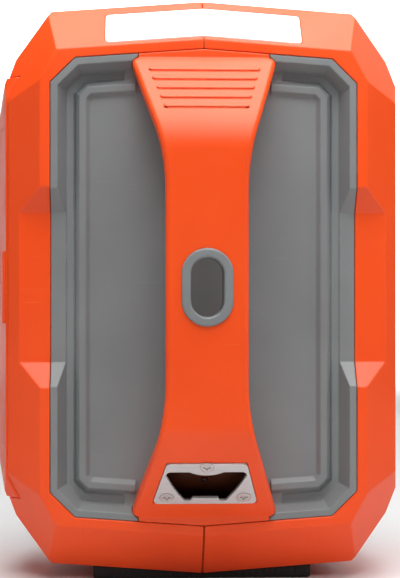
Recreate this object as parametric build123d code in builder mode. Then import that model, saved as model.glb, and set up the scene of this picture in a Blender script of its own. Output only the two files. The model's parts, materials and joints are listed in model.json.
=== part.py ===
"""Jump starter pack: a faceted case with a carrying handle, a lamp, a side door and rear controls.

Millimetres. +X is to the right of someone facing the handle, -Y towards them, +Z up.
The origin is on the floor, under the middle of the whole pack.
Depths count back from the case's front plane, heights from the case's middle.
"""
import os
from functools import lru_cache
from math import pi, sqrt

from build123d import *

os.makedirs("parts", exist_ok=True)

# ---------------------------------------------------------------- driving dimensions
# Case outline, as half sizes of its widest section
case_depth = 138.0
apex_z = 175.8          # peak of the shallow V along the top and the bottom
v_slope = 0.0735        # fall of the V per millimetre from the middle
shoulder_x = 92.5       # where the V meets the corner
corner_x, corner_z = 114.5, 140.0
flank_x, flank_z = 127.0, 104.0
# Front and rear faces and the facets behind them
face_apex_z = 149.2
face_shoulder_x = 88.7
face_side_x, face_side_z = 98.5, 124.3
top_facet_depth = 25.0
corner_facet_depth = 30.0
side_facet_depth = 17.0
side_facet_x = 118.5
wall = 3.0
seam = 0.7              # groove along the parting line
foot_drop = 3.7         # feet stand this far below the lowest point of the case

# Openings for the grey panels, and the panels themselves
opening_apex_z = 143.6
opening_shoulder_x = 77.5
opening_side_x, opening_side_z = 92.5, 123.1
panel_gap = 0.3
panel_sunk = 0.5
panel_wall = 2.5
rim_width = 4.5
rim_slope_width = 5.3
groove_depth = 12.0
groove_width = 4.0
ridge_slope_width = 3.7
ridge_depth = 7.0
ridge_width = 3.9
ridge_inner_width = 2.4
floor_depth = 10.0
ridge_gap_x = 41.0      # half the gap between the two ridge brackets
flange_reach = 3.2

# Grip scallops in the sides
scallop_half = 60.3
scallop_floor_half = 45.3
scallop_depth = 11.0

# Handle
handle_rise = 42.0
handle_thick = 18.0
handle_wall = 3.0
handle_cover = 2.5
handle_mid_x = 24.0
handle_end_x = 44.3
handle_end_z = 137.0
handle_waist_z = 76.2
handle_waist_radius = 120.0
handle_strip_x = 39.3
handle_slope_z = 138.0  # height at which the slope leaves the face
handle_slope_run = 43.5
handle_bend_radius = 36.0
handle_corner = 4.2
handle_edge = 3.0
hollow_end_z = 114.0
rib_count = 5
rib_first_z, rib_pitch_z = 130.0, 6.08
rib_first_width, rib_width_step = 66.0, 4.1
rib_radius = 1.5

# Grommet through the handle
grommet_w, grommet_h = 30.2, 45.4
grommet_hole_w, grommet_hole_h = 19.2, 34.3
grommet_tube_wall = 2.4
grommet_proud = 1.6

# Bottle opener
opener_z = -115.3
opener_top_w, opener_bottom_w, opener_h = 46.6, 62.4, 36.0
opener_thick = 2.0
opener_sunk = 1.2
opener_screw_r = 4.1
opener_shank_r = 1.6
opener_ring = 0.45      # gap round the heads
opener_boss_r, opener_boss_depth = 3.4, 8.0
mouth_top, mouth_top_x, mouth_corner = 11.1, 24.6, 2.9
mouth_lip_x, mouth_dip = 10.0, 2.9
mouth_mid_x, mouth_mid_y = 19.4, -2.6
mouth_foot, mouth_foot_x = -15.2, 12.4
tab_x, tab_rise = 7.7, 2.4
pocket_run = 14.0       # straight back from the slope
pocket_wall = 2.0
pocket_hole_r = 2.0

# Lamp
lamp_half = 59.2
lamp_height = 26.0
lamp_along = 16.2       # centre of the lens, along the top facet from its front edge
lens_thick = 2.4
lens_proud = 0.3
led_count = 10

# Feet
foot_half = 67.0
foot_width = 18.0
foot_inset = 27.0       # from the front or rear plane to the bar
foot_well_r, foot_well_depth = 4.2, 2.6

# Side door and the bay behind it
door_half_z = 128.0
door_front = 19.0
door_rear = case_depth - 19.6
door_proud = 1.2
door_sunk = 1.6
door_gap = 0.4
swing_gap = 0.5         # behind the door, for its corners as it turns
bay_half_z = 113.0
bay_front = 30.0
bay_rear = case_depth - 30.0
bay_floor_x = -84.0
bay_wall = 2.2
hinge_x = -119.6
hinge_depth = case_depth - 15.4
hinge_r = 3.2
hinge_pin_r = 1.25
running_gap = 0.05
knuckle_length = 24.0
knuckle_centres = (-78.0, 0.0, 78.0)

# Sockets in the bay
aux_z, aux_depth = 78.0, case_depth / 2
aux_bore_r = 10.5
aux_wall = 2.0
aux_length = 28.0       # from the flange's face to the end of the straight bore
aux_mouth_r = aux_bore_r + 1.0
aux_mouth = 4.0         # wider mouth that the cap's plug fills
aux_chamber_r = 8.0     # narrower end that holds the contact
aux_chamber = 10.0
aux_depth_in = aux_length + aux_chamber
usb_z = 36.0
charge_z = 8.0
jump_z = -52.0
jump_size = (62.0, 36.0)
jump_proud = 20.0
contact_half_pitch = 15.0
contact_r = 4.0

# Rear controls
fascia_w, fascia_h, fascia_z = 132.0, 84.0, 62.0
fascia_thick = 3.0
display_w, display_h = 52.0, 24.0
button_r = 8.0
button_travel = 1.5
button_gap = 0.4
knob_r = 21.0
shaft_grip = 4.5
shaft_hole_r = 6.0
knob_x = -38.0          # places on the rear face, seen from behind
display_x, button_x, button_pitch = 26.0, 14.0, 26.0
display_rise, button_drop = 16.0, 18.0      # above and below the middle of the fascia

# Battery and its fixings
battery_w, battery_d, battery_h = 181.0, 77.0, 167.0
battery_x = 22.0
battery_bottom_z = -130.0
strap_width, strap_thick = 20.0, 1.5
board_w, board_h, board_thick = 138.0, 80.0, 1.6
board_back = 50.0       # from the rear plane to the main board
cable_r = 3.5

# ---------------------------------------------------------------- derived places
front_y = (handle_rise + grommet_proud - case_depth) / 2
rear_y = front_y + case_depth
mid_depth = case_depth / 2
middle_z = apex_z + foot_drop
slope_rate = handle_slope_run / handle_rise
groove_in = rim_width + rim_slope_width
ridge_in = groove_in + groove_width
ridge_top_in = ridge_in + ridge_slope_width
floor_top_in = ridge_top_in + ridge_width
floor_in = floor_top_in + ridge_inner_width
panel_back = groove_depth + panel_wall
floor_back = floor_depth + panel_wall
button_z = fascia_z - button_drop
button_spots = ((button_x, button_z), (button_x + button_pitch, button_z))
display_spot = (display_x, fascia_z + display_rise)


# ---------------------------------------------------------------- small helpers
def at(x, depth, height):
    """A point given by x, depth behind the front plane and height from the middle."""
    return Vector(x, front_y + depth, middle_z + height)


def front_face(depth=0.0):
    """Plane that faces the front; its local axes are x and height."""
    return Plane(origin=at(0, depth, 0), x_dir=(1, 0, 0), z_dir=(0, -1, 0))


def rear_face(depth=0.0):
    """Plane that faces the rear, this far in from the rear plane; local x runs to the left."""
    return Plane(origin=at(0, case_depth - depth, 0), x_dir=(-1, 0, 0), z_dir=(0, 1, 0))


def turned(plane):
    """The same plane facing the other way, with local y kept."""
    return Plane(origin=plane.origin, x_dir=plane.x_dir * -1, z_dir=plane.z_dir * -1)


def side_section():
    """Plane through the middle of the case whose local axes are depth and height."""
    return Plane(origin=at(0, 0, 0), x_dir=(0, 1, 0), z_dir=(1, 0, 0))


def left_face(x, depth, height):
    """Plane that faces the left side; local x runs to the front and local y up."""
    return Plane(origin=at(x, depth, height), x_dir=(0, -1, 0), z_dir=(-1, 0, 0))


def block(xs, depths, heights, mode=Mode.ADD):
    """Box between two values of x, of depth and of height."""
    spans = [abs(pair[1] - pair[0]) for pair in (xs, depths, heights)]
    with Locations(at(sum(xs) / 2, sum(depths) / 2, sum(heights) / 2)):
        Box(*spans, mode=mode)


def disc(plane, radius, length, mode=Mode.ADD, at_points=((0, 0),)):
    """Round bars that stand on a plane."""
    with BuildSketch(plane) as outline:
        with Locations(*at_points):
            Circle(radius)
    extrude(outline.sketch, amount=length, mode=mode)


def plate(plane, size, length, corner=0.0, mode=Mode.ADD, at_points=((0, 0),)):
    """Rectangular bars, with rounded corners if asked, that stand on a plane."""
    with BuildSketch(plane) as outline:
        with Locations(*at_points):
            if corner:
                RectangleRounded(*size, corner)
            else:
                Rectangle(*size)
    extrude(outline.sketch, amount=length, mode=mode)


def slot(plane, width, height, length, mode=Mode.ADD):
    """Upright bar with round ends that stands on a plane."""
    with BuildSketch(plane) as outline:
        SlotOverall(height, width, rotation=90)
    extrude(outline.sketch, amount=length, mode=mode)


def prism(plane, points, near, far, mode=Mode.ADD):
    """A polygon on a plane, extruded between two distances along its normal."""
    with BuildSketch(plane.offset(near)) as outline:
        Polygon(*points, align=None)
    extrude(outline.sketch, amount=far - near, mode=mode)


def frustum(planes, outlines, mode=Mode.ADD):
    """Straight-sided loft between two polygons of the same number of points."""
    faces = []
    for plane, points in zip(planes, outlines):
        with BuildSketch(plane) as outline:
            Polygon(*points, align=None)
        faces.append(outline.sketch.faces()[0])
    loft(faces, ruled=True, mode=mode)


def inset_polygon(points, amount):
    """The polygon with each side moved in by an amount; its points run clockwise."""
    lines = []
    for (x0, y0), (x1, y1) in zip(points, points[1:] + points[:1]):
        length = sqrt((x1 - x0) ** 2 + (y1 - y0) ** 2)
        nx, ny = (y1 - y0) / length, -(x1 - x0) / length
        lines.append((nx, ny, nx * x0 + ny * y0 + amount))
    result = []
    for (a, b, c), (d, e, f) in zip(lines[-1:] + lines[:-1], lines):
        det = a * e - b * d
        result.append(((c * e - b * f) / det, (a * f - c * d) / det))
    return result


def v_fall(x):
    """How far the V has fallen at x."""
    return v_slope * abs(x)


def eight_corners(apex, knee_x, side_x, side_z):
    """Clockwise outline with a shallow V at top and bottom and cut corners."""
    knee_z = apex - v_fall(knee_x)
    right = [(0, apex), (knee_x, knee_z), (side_x, side_z)]
    lower = [(x, -z) for x, z in reversed(right)]
    left = [(-x, -z) for x, z in right[1:]] + [(-x, z) for x, z in reversed(right[1:])]
    return right + lower + left


def opening_outline(inset=0.0):
    """Outline of the panel opening, moved in by an amount."""
    points = eight_corners(opening_apex_z, opening_shoulder_x, opening_side_x, opening_side_z)
    return inset_polygon(points, inset)


# ---------------------------------------------------------------- outer form of the case
def section_outline():
    """Clockwise outline of the widest section."""
    right = [
        (0, apex_z),
        (shoulder_x, apex_z - v_fall(shoulder_x)),
        (corner_x, corner_z),
        (flank_x, flank_z),
    ]
    lower = [(x, -z) for x, z in reversed(right)]
    left = [(-x, -z) for x, z in right[1:]] + [(-x, z) for x, z in reversed(right[1:])]
    return right + lower + left


def facet_planes():
    """Planes of the facets round the front and rear faces, with outward normals."""
    shoulder_z = face_apex_z - v_fall(face_shoulder_x)
    triples = [
        ((0, 0, face_apex_z), (0, top_facet_depth, apex_z), (face_shoulder_x, 0, shoulder_z)),
        (
            (face_shoulder_x, 0, shoulder_z),
            (corner_x, corner_facet_depth, corner_z),
            (face_side_x, 0, face_side_z),
        ),
        ((face_side_x, 0, 0), (side_facet_x, side_facet_depth, 0), (face_side_x, 0, face_side_z)),
        ((side_facet_x, side_facet_depth, 0), (flank_x, mid_depth, 0),
         (side_facet_x, side_facet_depth, flank_z)),
    ]
    planes = []
    for triple in triples:
        for side in (1, -1):
            for top in (1, -1):
                for rear in (False, True):
                    corners = [
                        at(side * x, case_depth - d if rear else d, top * z) for x, d, z in triple
                    ]
                    normal = (corners[1] - corners[0]).cross(corners[2] - corners[0])
                    if normal.dot(corners[0] - at(0, mid_depth, 0)) < 0:
                        normal = normal * -1
                    planes.append(Plane(origin=corners[0], z_dir=normal))
    return planes


@lru_cache(maxsize=None)
def case_form(inset=0.0):
    """The faceted form with every face moved in by an amount."""
    with BuildPart(mode=Mode.PRIVATE) as form:
        prism(front_face(inset), inset_polygon(section_outline(), inset), 0, 2 * inset - case_depth)
        for plane in facet_planes():
            split(bisect_by=plane.offset(-inset), keep=Keep.BOTTOM)
    return form.part


def shell(outer, inner):
    """The layer between two insets of the form."""
    return case_form(outer) - case_form(inner)


def scallops(grow=0.0):
    """The two grip scallops of the front face, enlarged by an amount."""
    floor = scallop_depth + grow
    lean = (scallop_half - scallop_floor_half) / scallop_depth
    foot = scallop_floor_half + grow * (sqrt(1 + lean**2) - lean)
    mouth = foot + lean * (floor + 1)
    reach = opening_side_x - groove_in - grow
    with BuildPart(mode=Mode.PRIVATE) as cutter:
        for side in (1, -1):
            with BuildSketch(side_section().offset(side * reach)) as outline:
                Polygon((-1, -mouth), (floor, -foot), (floor, foot), (-1, mouth), align=None)
            extrude(outline.sketch, amount=side * 60)
    return cutter.part


# ---------------------------------------------------------------- places on the top facet
def lamp_plane():
    """Plane on the lamp's facet at the middle of the lens; local y runs up the facet."""
    rise = apex_z - face_apex_z
    length = sqrt(rise**2 + top_facet_depth**2)
    depth = top_facet_depth * lamp_along / length
    height = face_apex_z + rise * lamp_along / length
    return Plane(origin=at(0, depth, height), x_dir=(1, 0, 0), z_dir=(0, -rise, top_facet_depth))


def lamp_outline(grow=0.0):
    """Outline of the lens on its plane: a band that follows the V."""
    plane = lamp_plane()
    half_x = lamp_half + grow
    half_y = lamp_height / 2 + grow
    drop = half_x * v_slope * plane.y_dir.Z
    return [
        (0, half_y), (half_x, half_y - drop), (half_x, -half_y - drop),
        (0, -half_y), (-half_x, -half_y - drop), (-half_x, half_y - drop),
    ]


def lamp_prism(grow=0.0, corner=2.5):
    """Everything in front of and behind the lens."""
    with BuildPart(mode=Mode.PRIVATE) as bar:
        with BuildSketch(lamp_plane().offset(-25)) as outline:
            Polygon(*lamp_outline(grow), align=None)
            ends = outline.vertices().filter_by(lambda v: abs(v.X) > 1)
            fillet(ends, radius=corner)
        extrude(outline.sketch, amount=40)
    return bar.part


# ---------------------------------------------------------------- screws
def screw(plane, head_r, head_h, shank_r, length, points=((0, 0),), countersunk=False):
    """Cross-recess screws that point into a plane, with their heads on it."""
    for point in points:
        spot = Plane(origin=plane.from_local_coords(Vector(*point)), z_dir=plane.z_dir)
        if countersunk:
            with BuildSketch(spot) as top:
                Circle(head_r)
            with BuildSketch(spot.offset(-head_h)) as base:
                Circle(shank_r)
            loft([top.sketch.faces()[0], base.sketch.faces()[0]])
        else:
            disc(spot, head_r, head_h)
        disc(spot, shank_r, -length)
        recess_top = 0 if countersunk else head_h
        for size in ((head_r * 1.1, head_r * 0.3), (head_r * 0.3, head_r * 1.1)):
            plate(spot.offset(recess_top), size, -head_h * 0.6, mode=Mode.SUBTRACT)


def holes(plane, radius, depth, points=((0, 0),)):
    """Round holes sunk into a plane."""
    disc(plane, radius, -depth, mode=Mode.SUBTRACT, at_points=points)


def save(node, name):
    """Label a finished sub-part and write it."""
    node.part.label = name
    export_step(node.part, f"parts/{name}.step")
    return node.part


def space(xs, depths, heights):
    """A free box, for trimming other solids."""
    with BuildPart(mode=Mode.PRIVATE) as region:
        block(xs, depths, heights)
    return region.part


# ---------------------------------------------------------------- housing halves
lug_heights = (-95.0, 0.0, 95.0)
lug_half = 5.0
lug_thick = 6.0
lug_in = 9.6            # from the panel opening's side to the screw
lug_x = opening_side_x - lug_in
panel_screw_r, panel_screw_head_r, panel_screw_head = 1.75, 3.8, 2.4
seam_tab_half_pitch = 21.0
seam_tab_depths = (mid_depth - seam_tab_half_pitch, mid_depth + seam_tab_half_pitch)
seam_tab_x, seam_tab_reach = 6.0, 12.0
foot_screw_x = 45.0
foot_screw_r = 2.0
foot_boss_r, foot_boss_height = 5.0, 14.0
bay_flange = 7.0
hinge_gap = 0.4
side_knuckle = 8.0


def foot_depths():
    """Middle depths of the two foot bars."""
    near = foot_inset + foot_width / 2
    return (near, case_depth - near)


def hinge_line(height):
    """Plane that faces up on the door hinge's axis."""
    return Plane(origin=at(hinge_x, hinge_depth, height))


def knuckles(length, offset, radius, mode=Mode.ADD):
    """Round bars on the hinge axis, one at each knuckle centre."""
    for centre in knuckle_centres:
        disc(hinge_line(centre + offset - length / 2), radius, length, mode=mode)


with BuildPart() as housing:
    add(case_form(0) - scallops(0))
    add(case_form(wall) - scallops(wall), mode=Mode.SUBTRACT)
    # Lugs for the panel screws, reaching in from the side walls
    for side in (1, -1):
        for height in lug_heights:
            for depth in (panel_back + 0.2, case_depth - panel_back - 0.2 - lug_thick):
                lug = space(
                    (side * (lug_x - lug_half), side * flank_x),
                    (depth, depth + lug_thick),
                    (height - lug_half, height + lug_half),
                )
                add(lug & case_form(wall / 2))
    # Tabs where the halves are screwed together, and bosses over the feet
    for depth in seam_tab_depths:
        for top in (1, -1):
            edge = apex_z - wall / 2
            tab = space((-seam_tab_x, seam_tab_x), (depth - 6, depth + 6),
                        (top * (edge - seam_tab_reach), top * edge))
            add(tab & case_form(wall / 2))
    for depth in foot_depths():
        for x in (foot_screw_x, -foot_screw_x):
            base = Plane(origin=at(x, depth, -apex_z))
            with BuildPart(mode=Mode.PRIVATE) as boss:
                disc(base, foot_boss_r, foot_boss_height)
            add(boss.part & case_form(wall / 2))
            disc(base, foot_screw_r, foot_boss_height - 2, mode=Mode.SUBTRACT)
    # Openings
    for face in (front_face, rear_face):
        prism(face(-1), opening_outline(), 0, -panel_back - 1.1, mode=Mode.SUBTRACT)
    add(lamp_prism(panel_gap), mode=Mode.SUBTRACT)
    rebate = space((-flank_x - 9, -60), (door_front - door_gap, door_rear + door_gap),
                   (-door_half_z - door_gap, door_half_z + door_gap))
    add(shell(-door_proud - 2, door_sunk + swing_gap) & rebate, mode=Mode.SUBTRACT)
    block((-flank_x - 9, -100), (bay_front, bay_rear), (-bay_half_z, bay_half_z), mode=Mode.SUBTRACT)
    # Door hinge: troughs for the door's knuckles, and the case's own knuckles beside them
    knuckles(knuckle_length + 2 * hinge_gap, 0, hinge_r + 0.6, mode=Mode.SUBTRACT)
    for centre in knuckle_centres:
        reach = knuckle_length / 2 + hinge_gap
        block((hinge_x - 5, -side_facet_x + 1.9), (door_rear - 0.5, hinge_depth),
              (centre - reach, centre + reach), mode=Mode.SUBTRACT)
    for end in (1, -1):
        shift = end * (knuckle_length / 2 + hinge_gap + side_knuckle / 2)
        knuckles(side_knuckle, shift, hinge_r)
    knuckles(knuckle_length + 2 * (hinge_gap + side_knuckle), 0, hinge_pin_r, mode=Mode.SUBTRACT)
    # Screw holes
    for side in (1, -1):
        for height in lug_heights:
            spot = [(side * lug_x, height)]
            for face in (front_face, rear_face):
                holes(face(panel_back - 1), panel_screw_r + 0.1, lug_thick + 2, spot)
    for depth in seam_tab_depths:
        for top in (1, -1):
            height = top * (apex_z - wall - seam_tab_reach / 2)
            disc(Plane(origin=at(-10, depth, height), z_dir=(1, 0, 0)), 1.5, 20, mode=Mode.SUBTRACT)
    # Groove along the parting line
    ring = shell(-1, seam) & space((-seam / 2, seam / 2), (-2, case_depth + 2), (-apex_z - 2, apex_z + 2))
    add(ring, mode=Mode.SUBTRACT)

with BuildPart() as left_housing:
    add(housing.part & space((-flank_x - 9, 0), (-9, case_depth + 9), (-apex_z - 9, apex_z + 9)))
save(left_housing, "left_housing")

with BuildPart() as right_housing:
    add(housing.part & space((0, flank_x + 9), (-9, case_depth + 9), (-apex_z - 9, apex_z + 9)))
save(right_housing, "right_housing")

with BuildPart() as seam_screws:
    for depth in seam_tab_depths:
        for top in (1, -1):
            height = top * (apex_z - wall - seam_tab_reach / 2)
            spot = Plane(origin=at(seam_tab_x, depth, height), z_dir=(1, 0, 0))
            screw(spot, 3.0, 2.0, 1.5, 2 * seam_tab_x - 1)
save(seam_screws, "seam_screws")


# ---------------------------------------------------------------- feet
def make_foot(depth, name):
    """Rubber bar whose top follows the V of the case."""
    with BuildPart() as foot:
        block((-foot_half, foot_half), (depth - foot_width / 2, depth + foot_width / 2),
              (-middle_z, -middle_z + 14))
        chamfer(foot.faces().sort_by(Axis.Z)[0].edges(), length=1.2)
        add(case_form(0), mode=Mode.SUBTRACT)
        for x in (foot_screw_x, -foot_screw_x):
            floor = Plane(origin=at(x, depth, -middle_z))
            disc(floor, foot_well_r, foot_well_depth, mode=Mode.SUBTRACT)
            disc(floor, foot_screw_r, 14, mode=Mode.SUBTRACT)
    save(foot, name)


front_foot_depth, rear_foot_depth = foot_depths()
make_foot(front_foot_depth, "front_foot")
make_foot(rear_foot_depth, "rear_foot")

with BuildPart() as foot_screws:
    for depth in foot_depths():
        for x in (foot_screw_x, -foot_screw_x):
            spot = Plane(origin=at(x, depth, -middle_z + foot_well_depth), z_dir=(0, 0, -1))
            screw(spot, foot_well_r - 0.4, foot_well_depth - 0.8, foot_screw_r, 11)
save(foot_screws, "foot_screws")


# ---------------------------------------------------------------- panels
def make_panel_body(face):
    """Recessed panel: flush rim, sloped wall, groove and a floor, hollow behind."""
    gap = panel_gap
    prism(face(panel_sunk), opening_outline(gap), 0, panel_sunk - panel_back)
    # Flange behind the lip of the case
    with BuildPart(mode=Mode.PRIVATE) as flange:
        prism(face(wall), opening_outline(-flange_reach), 0, -2.5)
    add(flange.part & (case_form(wall + gap) - scallops(wall + gap)))
    frustum((face(panel_sunk), face(groove_depth)),
            (opening_outline(rim_width), opening_outline(groove_in)), mode=Mode.SUBTRACT)
    block_top = face(groove_depth)
    frustum((block_top, face(floor_depth)), (opening_outline(ridge_in), opening_outline(ridge_in + 1.2)))
    prism(face(floor_back), opening_outline(ridge_in + panel_wall), 0, -panel_wall, mode=Mode.SUBTRACT)


def ridges(face):
    """The two raised brackets round the floor."""
    with BuildPart(mode=Mode.PRIVATE) as band:
        frustum((face(groove_depth), face(ridge_depth)),
                (opening_outline(ridge_in), opening_outline(ridge_top_in)))
        frustum((face(ridge_depth), face(floor_depth)),
                (opening_outline(floor_top_in), opening_outline(floor_in)), mode=Mode.SUBTRACT)
        prism(face(floor_depth), opening_outline(floor_in), 0, -5, mode=Mode.SUBTRACT)
        block((-ridge_gap_x, ridge_gap_x), (0, floor_depth), (-apex_z, apex_z), mode=Mode.SUBTRACT)
    return band.part


def rim_hollow(face):
    """Space inside the rim, open to the rear of the panel."""
    with BuildPart(mode=Mode.PRIVATE) as hollow:
        prism(face(panel_sunk + 4), opening_outline(2.2), 0, -panel_back)
        frustum((face(panel_sunk - 1), face(panel_back + 5)),
                (opening_outline(rim_width - 3.4), opening_outline(groove_in - 2.2)), mode=Mode.SUBTRACT)
    return hollow.part


# ---------------------------------------------------------------- handle
def slope_height(depth, offset):
    """Height of the handle's slope at a depth, for a surface moved in by an offset."""
    return handle_slope_z + slope_rate * depth - offset * sqrt(1 + slope_rate**2)


def handle_band(outer, inner, end_depth):
    """Side section between two offsets of the handle's outer surface."""
    with BuildSketch(side_section()) as band:
        points = []
        for offset, order in ((outer, 1), (inner, -1)):
            crown = offset - handle_rise
            side = [(end_depth, slope_height(end_depth, offset)), (crown, slope_height(crown, offset))]
            side += [(d, -h) for d, h in reversed(side)]
            points += side[::order]
        Polygon(*points, align=None)
        for offset in (outer, inner):
            crown = offset - handle_rise
            bends = band.vertices().filter_by(lambda v: abs(v.X - crown) < 0.01)
            fillet(bends, radius=handle_bend_radius - offset)
    return band.sketch


def handle_plan(grow=0.0):
    """Front outline of the handle: a waist with wide ends and a narrow strip at each tip."""
    tip = opening_apex_z - panel_gap - 0.1
    right = [
        (0, tip), (handle_strip_x, tip - v_fall(handle_strip_x)),
        (handle_strip_x, handle_end_z + 1), (handle_end_x, handle_end_z),
        (handle_mid_x, handle_waist_z),
    ]
    lower = [(x, -z) for x, z in reversed(right)]
    left = [(-x, -z) for x, z in right[1:]] + [(-x, z) for x, z in reversed(right[1:])]
    with BuildSketch(front_face(30)) as plan:
        Polygon(*inset_polygon(right + lower + left, -grow), align=None)
        waist = plan.vertices().filter_by(
            lambda v: abs(abs(v.Y) - handle_waist_z) < 2 + abs(grow))
        fillet(waist, radius=handle_waist_radius)
        corners = plan.vertices().filter_by(
            lambda v: abs(abs(v.X) - handle_end_x) < 2 + abs(grow))
        fillet(corners, radius=handle_corner + grow)
    return plan.sketch


def handle_layer(outer, inner, grow, end_depth):
    """A layer of the handle between two surface offsets, inside its outline."""
    with BuildPart(mode=Mode.PRIVATE) as layer:
        extrude(handle_plan(grow), amount=90)
        extrude(handle_band(outer, inner, end_depth), amount=60, both=True, mode=Mode.INTERSECT)
    return layer.part


def slope_plane(top):
    """Plane on the handle's slope at the opener's height; local y runs up towards the middle."""
    height = -opener_z if top else opener_z
    depth = (handle_slope_z - abs(height)) / -slope_rate
    fall = 1 if top else -1
    return Plane(origin=at(0, depth, height), x_dir=(1, 0, 0),
                 z_dir=(0, -slope_rate, fall))


def opener_outline(grow=0.0):
    """Trapezoid of the opener plate, wider at its outer end."""
    half_h = opener_h / 2
    points = [(-opener_top_w / 2, half_h), (opener_top_w / 2, half_h),
              (opener_bottom_w / 2, -half_h), (-opener_bottom_w / 2, -half_h)]
    return inset_polygon(points, -grow)


def mouth_sketch(plane, grow=0.0):
    """Mouth of the opener: a lip that dips in the middle, bowed sides and a lifting tab."""
    with BuildSketch(plane) as mouth:
        with BuildLine():
            ThreePointArc((-mouth_lip_x, mouth_top), (0, mouth_top - mouth_dip), (mouth_lip_x, mouth_top))
            for side in (1, -1):
                Line((side * mouth_lip_x, mouth_top), (side * mouth_top_x, mouth_top))
                ThreePointArc((side * mouth_top_x, mouth_top), (side * mouth_mid_x, mouth_mid_y),
                              (side * mouth_foot_x, mouth_foot))
                Polyline((side * mouth_foot_x, mouth_foot), (side * (tab_x + 0.9), mouth_foot),
                         (side * tab_x, mouth_foot + tab_rise))
            Line((-tab_x, mouth_foot + tab_rise), (tab_x, mouth_foot + tab_rise))
        make_face()
        fillet(mouth.vertices().filter_by(lambda v: abs(v.X) > mouth_mid_x), radius=mouth_corner)
        fillet(mouth.vertices().filter_by(lambda v: v.Y < mouth_foot + 0.1), radius=1.2)
        if grow:
            offset(amount=grow, kind=Kind.ARC)
    return mouth.sketch


opener_screw_points = ((0, 15.0), (-22.8, -12.4), (22.8, -12.4))
cover_screw_points = ((-14.0, -62.0), (14.0, -62.0), (-14.0, 62.0), (14.0, 62.0))
base_screw_points = ((-26.0, 129.0), (26.0, 129.0), (-26.0, -129.0), (26.0, -129.0))


def skin_outline(part):
    """Edges round the handle's outer skin, without its tips in the panel."""
    shared = {}
    for face in part.faces():
        if face.normal_at(face.center()).Y < -0.3:
            for edge in face.edges():
                middle = edge.center()
                key = (round(middle.X, 2), round(middle.Y, 2), round(middle.Z, 2))
                shared.setdefault(key, []).append(edge)
    return [group[0] for group in shared.values()
            if len(group) == 1 and group[0].center().Y < front_y - 0.5]


with BuildPart() as carry_handle:
    add(handle_layer(0, handle_thick, 0, floor_depth))
    # Flat strips at the tips, level with the rim
    with BuildPart(mode=Mode.PRIVATE) as strips:
        extrude(handle_plan(0), amount=90)
        foot_top = slope_height(floor_depth, handle_thick)
        block((-60, 60), (0, floor_depth), (-apex_z, apex_z), mode=Mode.INTERSECT)
        block((-60, 60), (-1, 99), (-foot_top, foot_top), mode=Mode.SUBTRACT)
    add(strips.part)
    fillet(skin_outline(carry_handle.part), radius=handle_edge)
    # Hollow behind, closed by the cover
    hollow = handle_layer(handle_wall, handle_thick + 1, -handle_wall, floor_depth)
    trim = space((-60, 60), (-60, floor_depth), (-hollow_end_z, hollow_end_z))
    seat = slope_plane(False).offset(-opener_sunk)
    inwards = (0, 1, 0)
    with BuildPart(mode=Mode.PRIVATE) as pocket_block:
        extrude(mouth_sketch(seat, 1.0 + pocket_wall), amount=pocket_run + pocket_wall * 1.4, dir=inwards)
    add((hollow & trim) - pocket_block.part, mode=Mode.SUBTRACT)
    extrude(mouth_sketch(seat, 1.0), amount=pocket_run, dir=inwards, mode=Mode.SUBTRACT)
    prism(slope_plane(False), opener_outline(0.15), 5, -opener_sunk, mode=Mode.SUBTRACT)
    disc(seat, opener_boss_r, -opener_boss_depth, at_points=opener_screw_points)
    holes(slope_plane(False), opener_shank_r, opener_boss_depth + 0.2, opener_screw_points)
    disc(Plane(origin=seat.origin, z_dir=inwards), pocket_hole_r, pocket_run + pocket_wall * 1.4 + 1,
         mode=Mode.SUBTRACT)
    slot(front_face(0), grommet_hole_w + 2 * grommet_tube_wall + 0.3,
         grommet_hole_h + 2 * grommet_tube_wall + 0.3, 60, mode=Mode.SUBTRACT)
    # Grip ribs on the upper slope
    rib_plane = slope_plane(True)
    for index in range(rib_count):
        height = rib_first_z - index * rib_pitch_z
        along = (abs(opener_z) - height) * sqrt(1 + slope_rate**2) / slope_rate
        width = rib_first_width - index * rib_width_step
        with BuildSketch(rib_plane.offset(-0.4)) as rib:
            with Locations((0, -along)):
                SlotOverall(width, 2 * rib_radius)
        extrude(rib.sketch, amount=0.4 + rib_radius * 0.7)
    holes(turned(front_face(floor_depth)), 2.2, 9, base_screw_points)
save(carry_handle, "carry_handle")

with BuildPart() as handle_back_cover:
    gap = 0.2
    cover = handle_layer(handle_thick - handle_cover, handle_thick, -handle_wall - gap, floor_depth)
    add(cover & space((-60, 60), (-60, floor_depth), (gap - hollow_end_z, hollow_end_z - gap)))
    slot(front_face(0), grommet_hole_w + 2 * grommet_tube_wall + 0.3,
         grommet_hole_h + 2 * grommet_tube_wall + 0.3, 60, mode=Mode.SUBTRACT)
    inner = front_face(handle_thick - handle_rise)
    disc(inner, 1.8, 10, mode=Mode.SUBTRACT, at_points=cover_screw_points)
save(handle_back_cover, "handle_back_cover")

with BuildPart() as cover_screws:
    spot = turned(front_face(handle_thick - handle_rise))
    screw(spot, 3.0, 1.4, 1.5, handle_cover + 7, cover_screw_points)
save(cover_screws, "cover_screws")

with BuildPart() as handle_grommet:
    crown = -handle_rise
    back = handle_thick - handle_rise
    slot(front_face(crown), grommet_w, grommet_h, grommet_proud)
    slot(front_face(back + grommet_proud), grommet_w, grommet_h, grommet_proud)
    slot(front_face(back + grommet_proud), grommet_hole_w + 2 * grommet_tube_wall,
         grommet_hole_h + 2 * grommet_tube_wall, handle_thick + grommet_proud)
    slot(front_face(20), grommet_hole_w, grommet_hole_h, 90, mode=Mode.SUBTRACT)
    rims = handle_grommet.faces().sort_by(Axis.Y)
    fillet(rims[0].edges(), radius=grommet_proud * 0.9)
save(handle_grommet, "handle_grommet")

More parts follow.
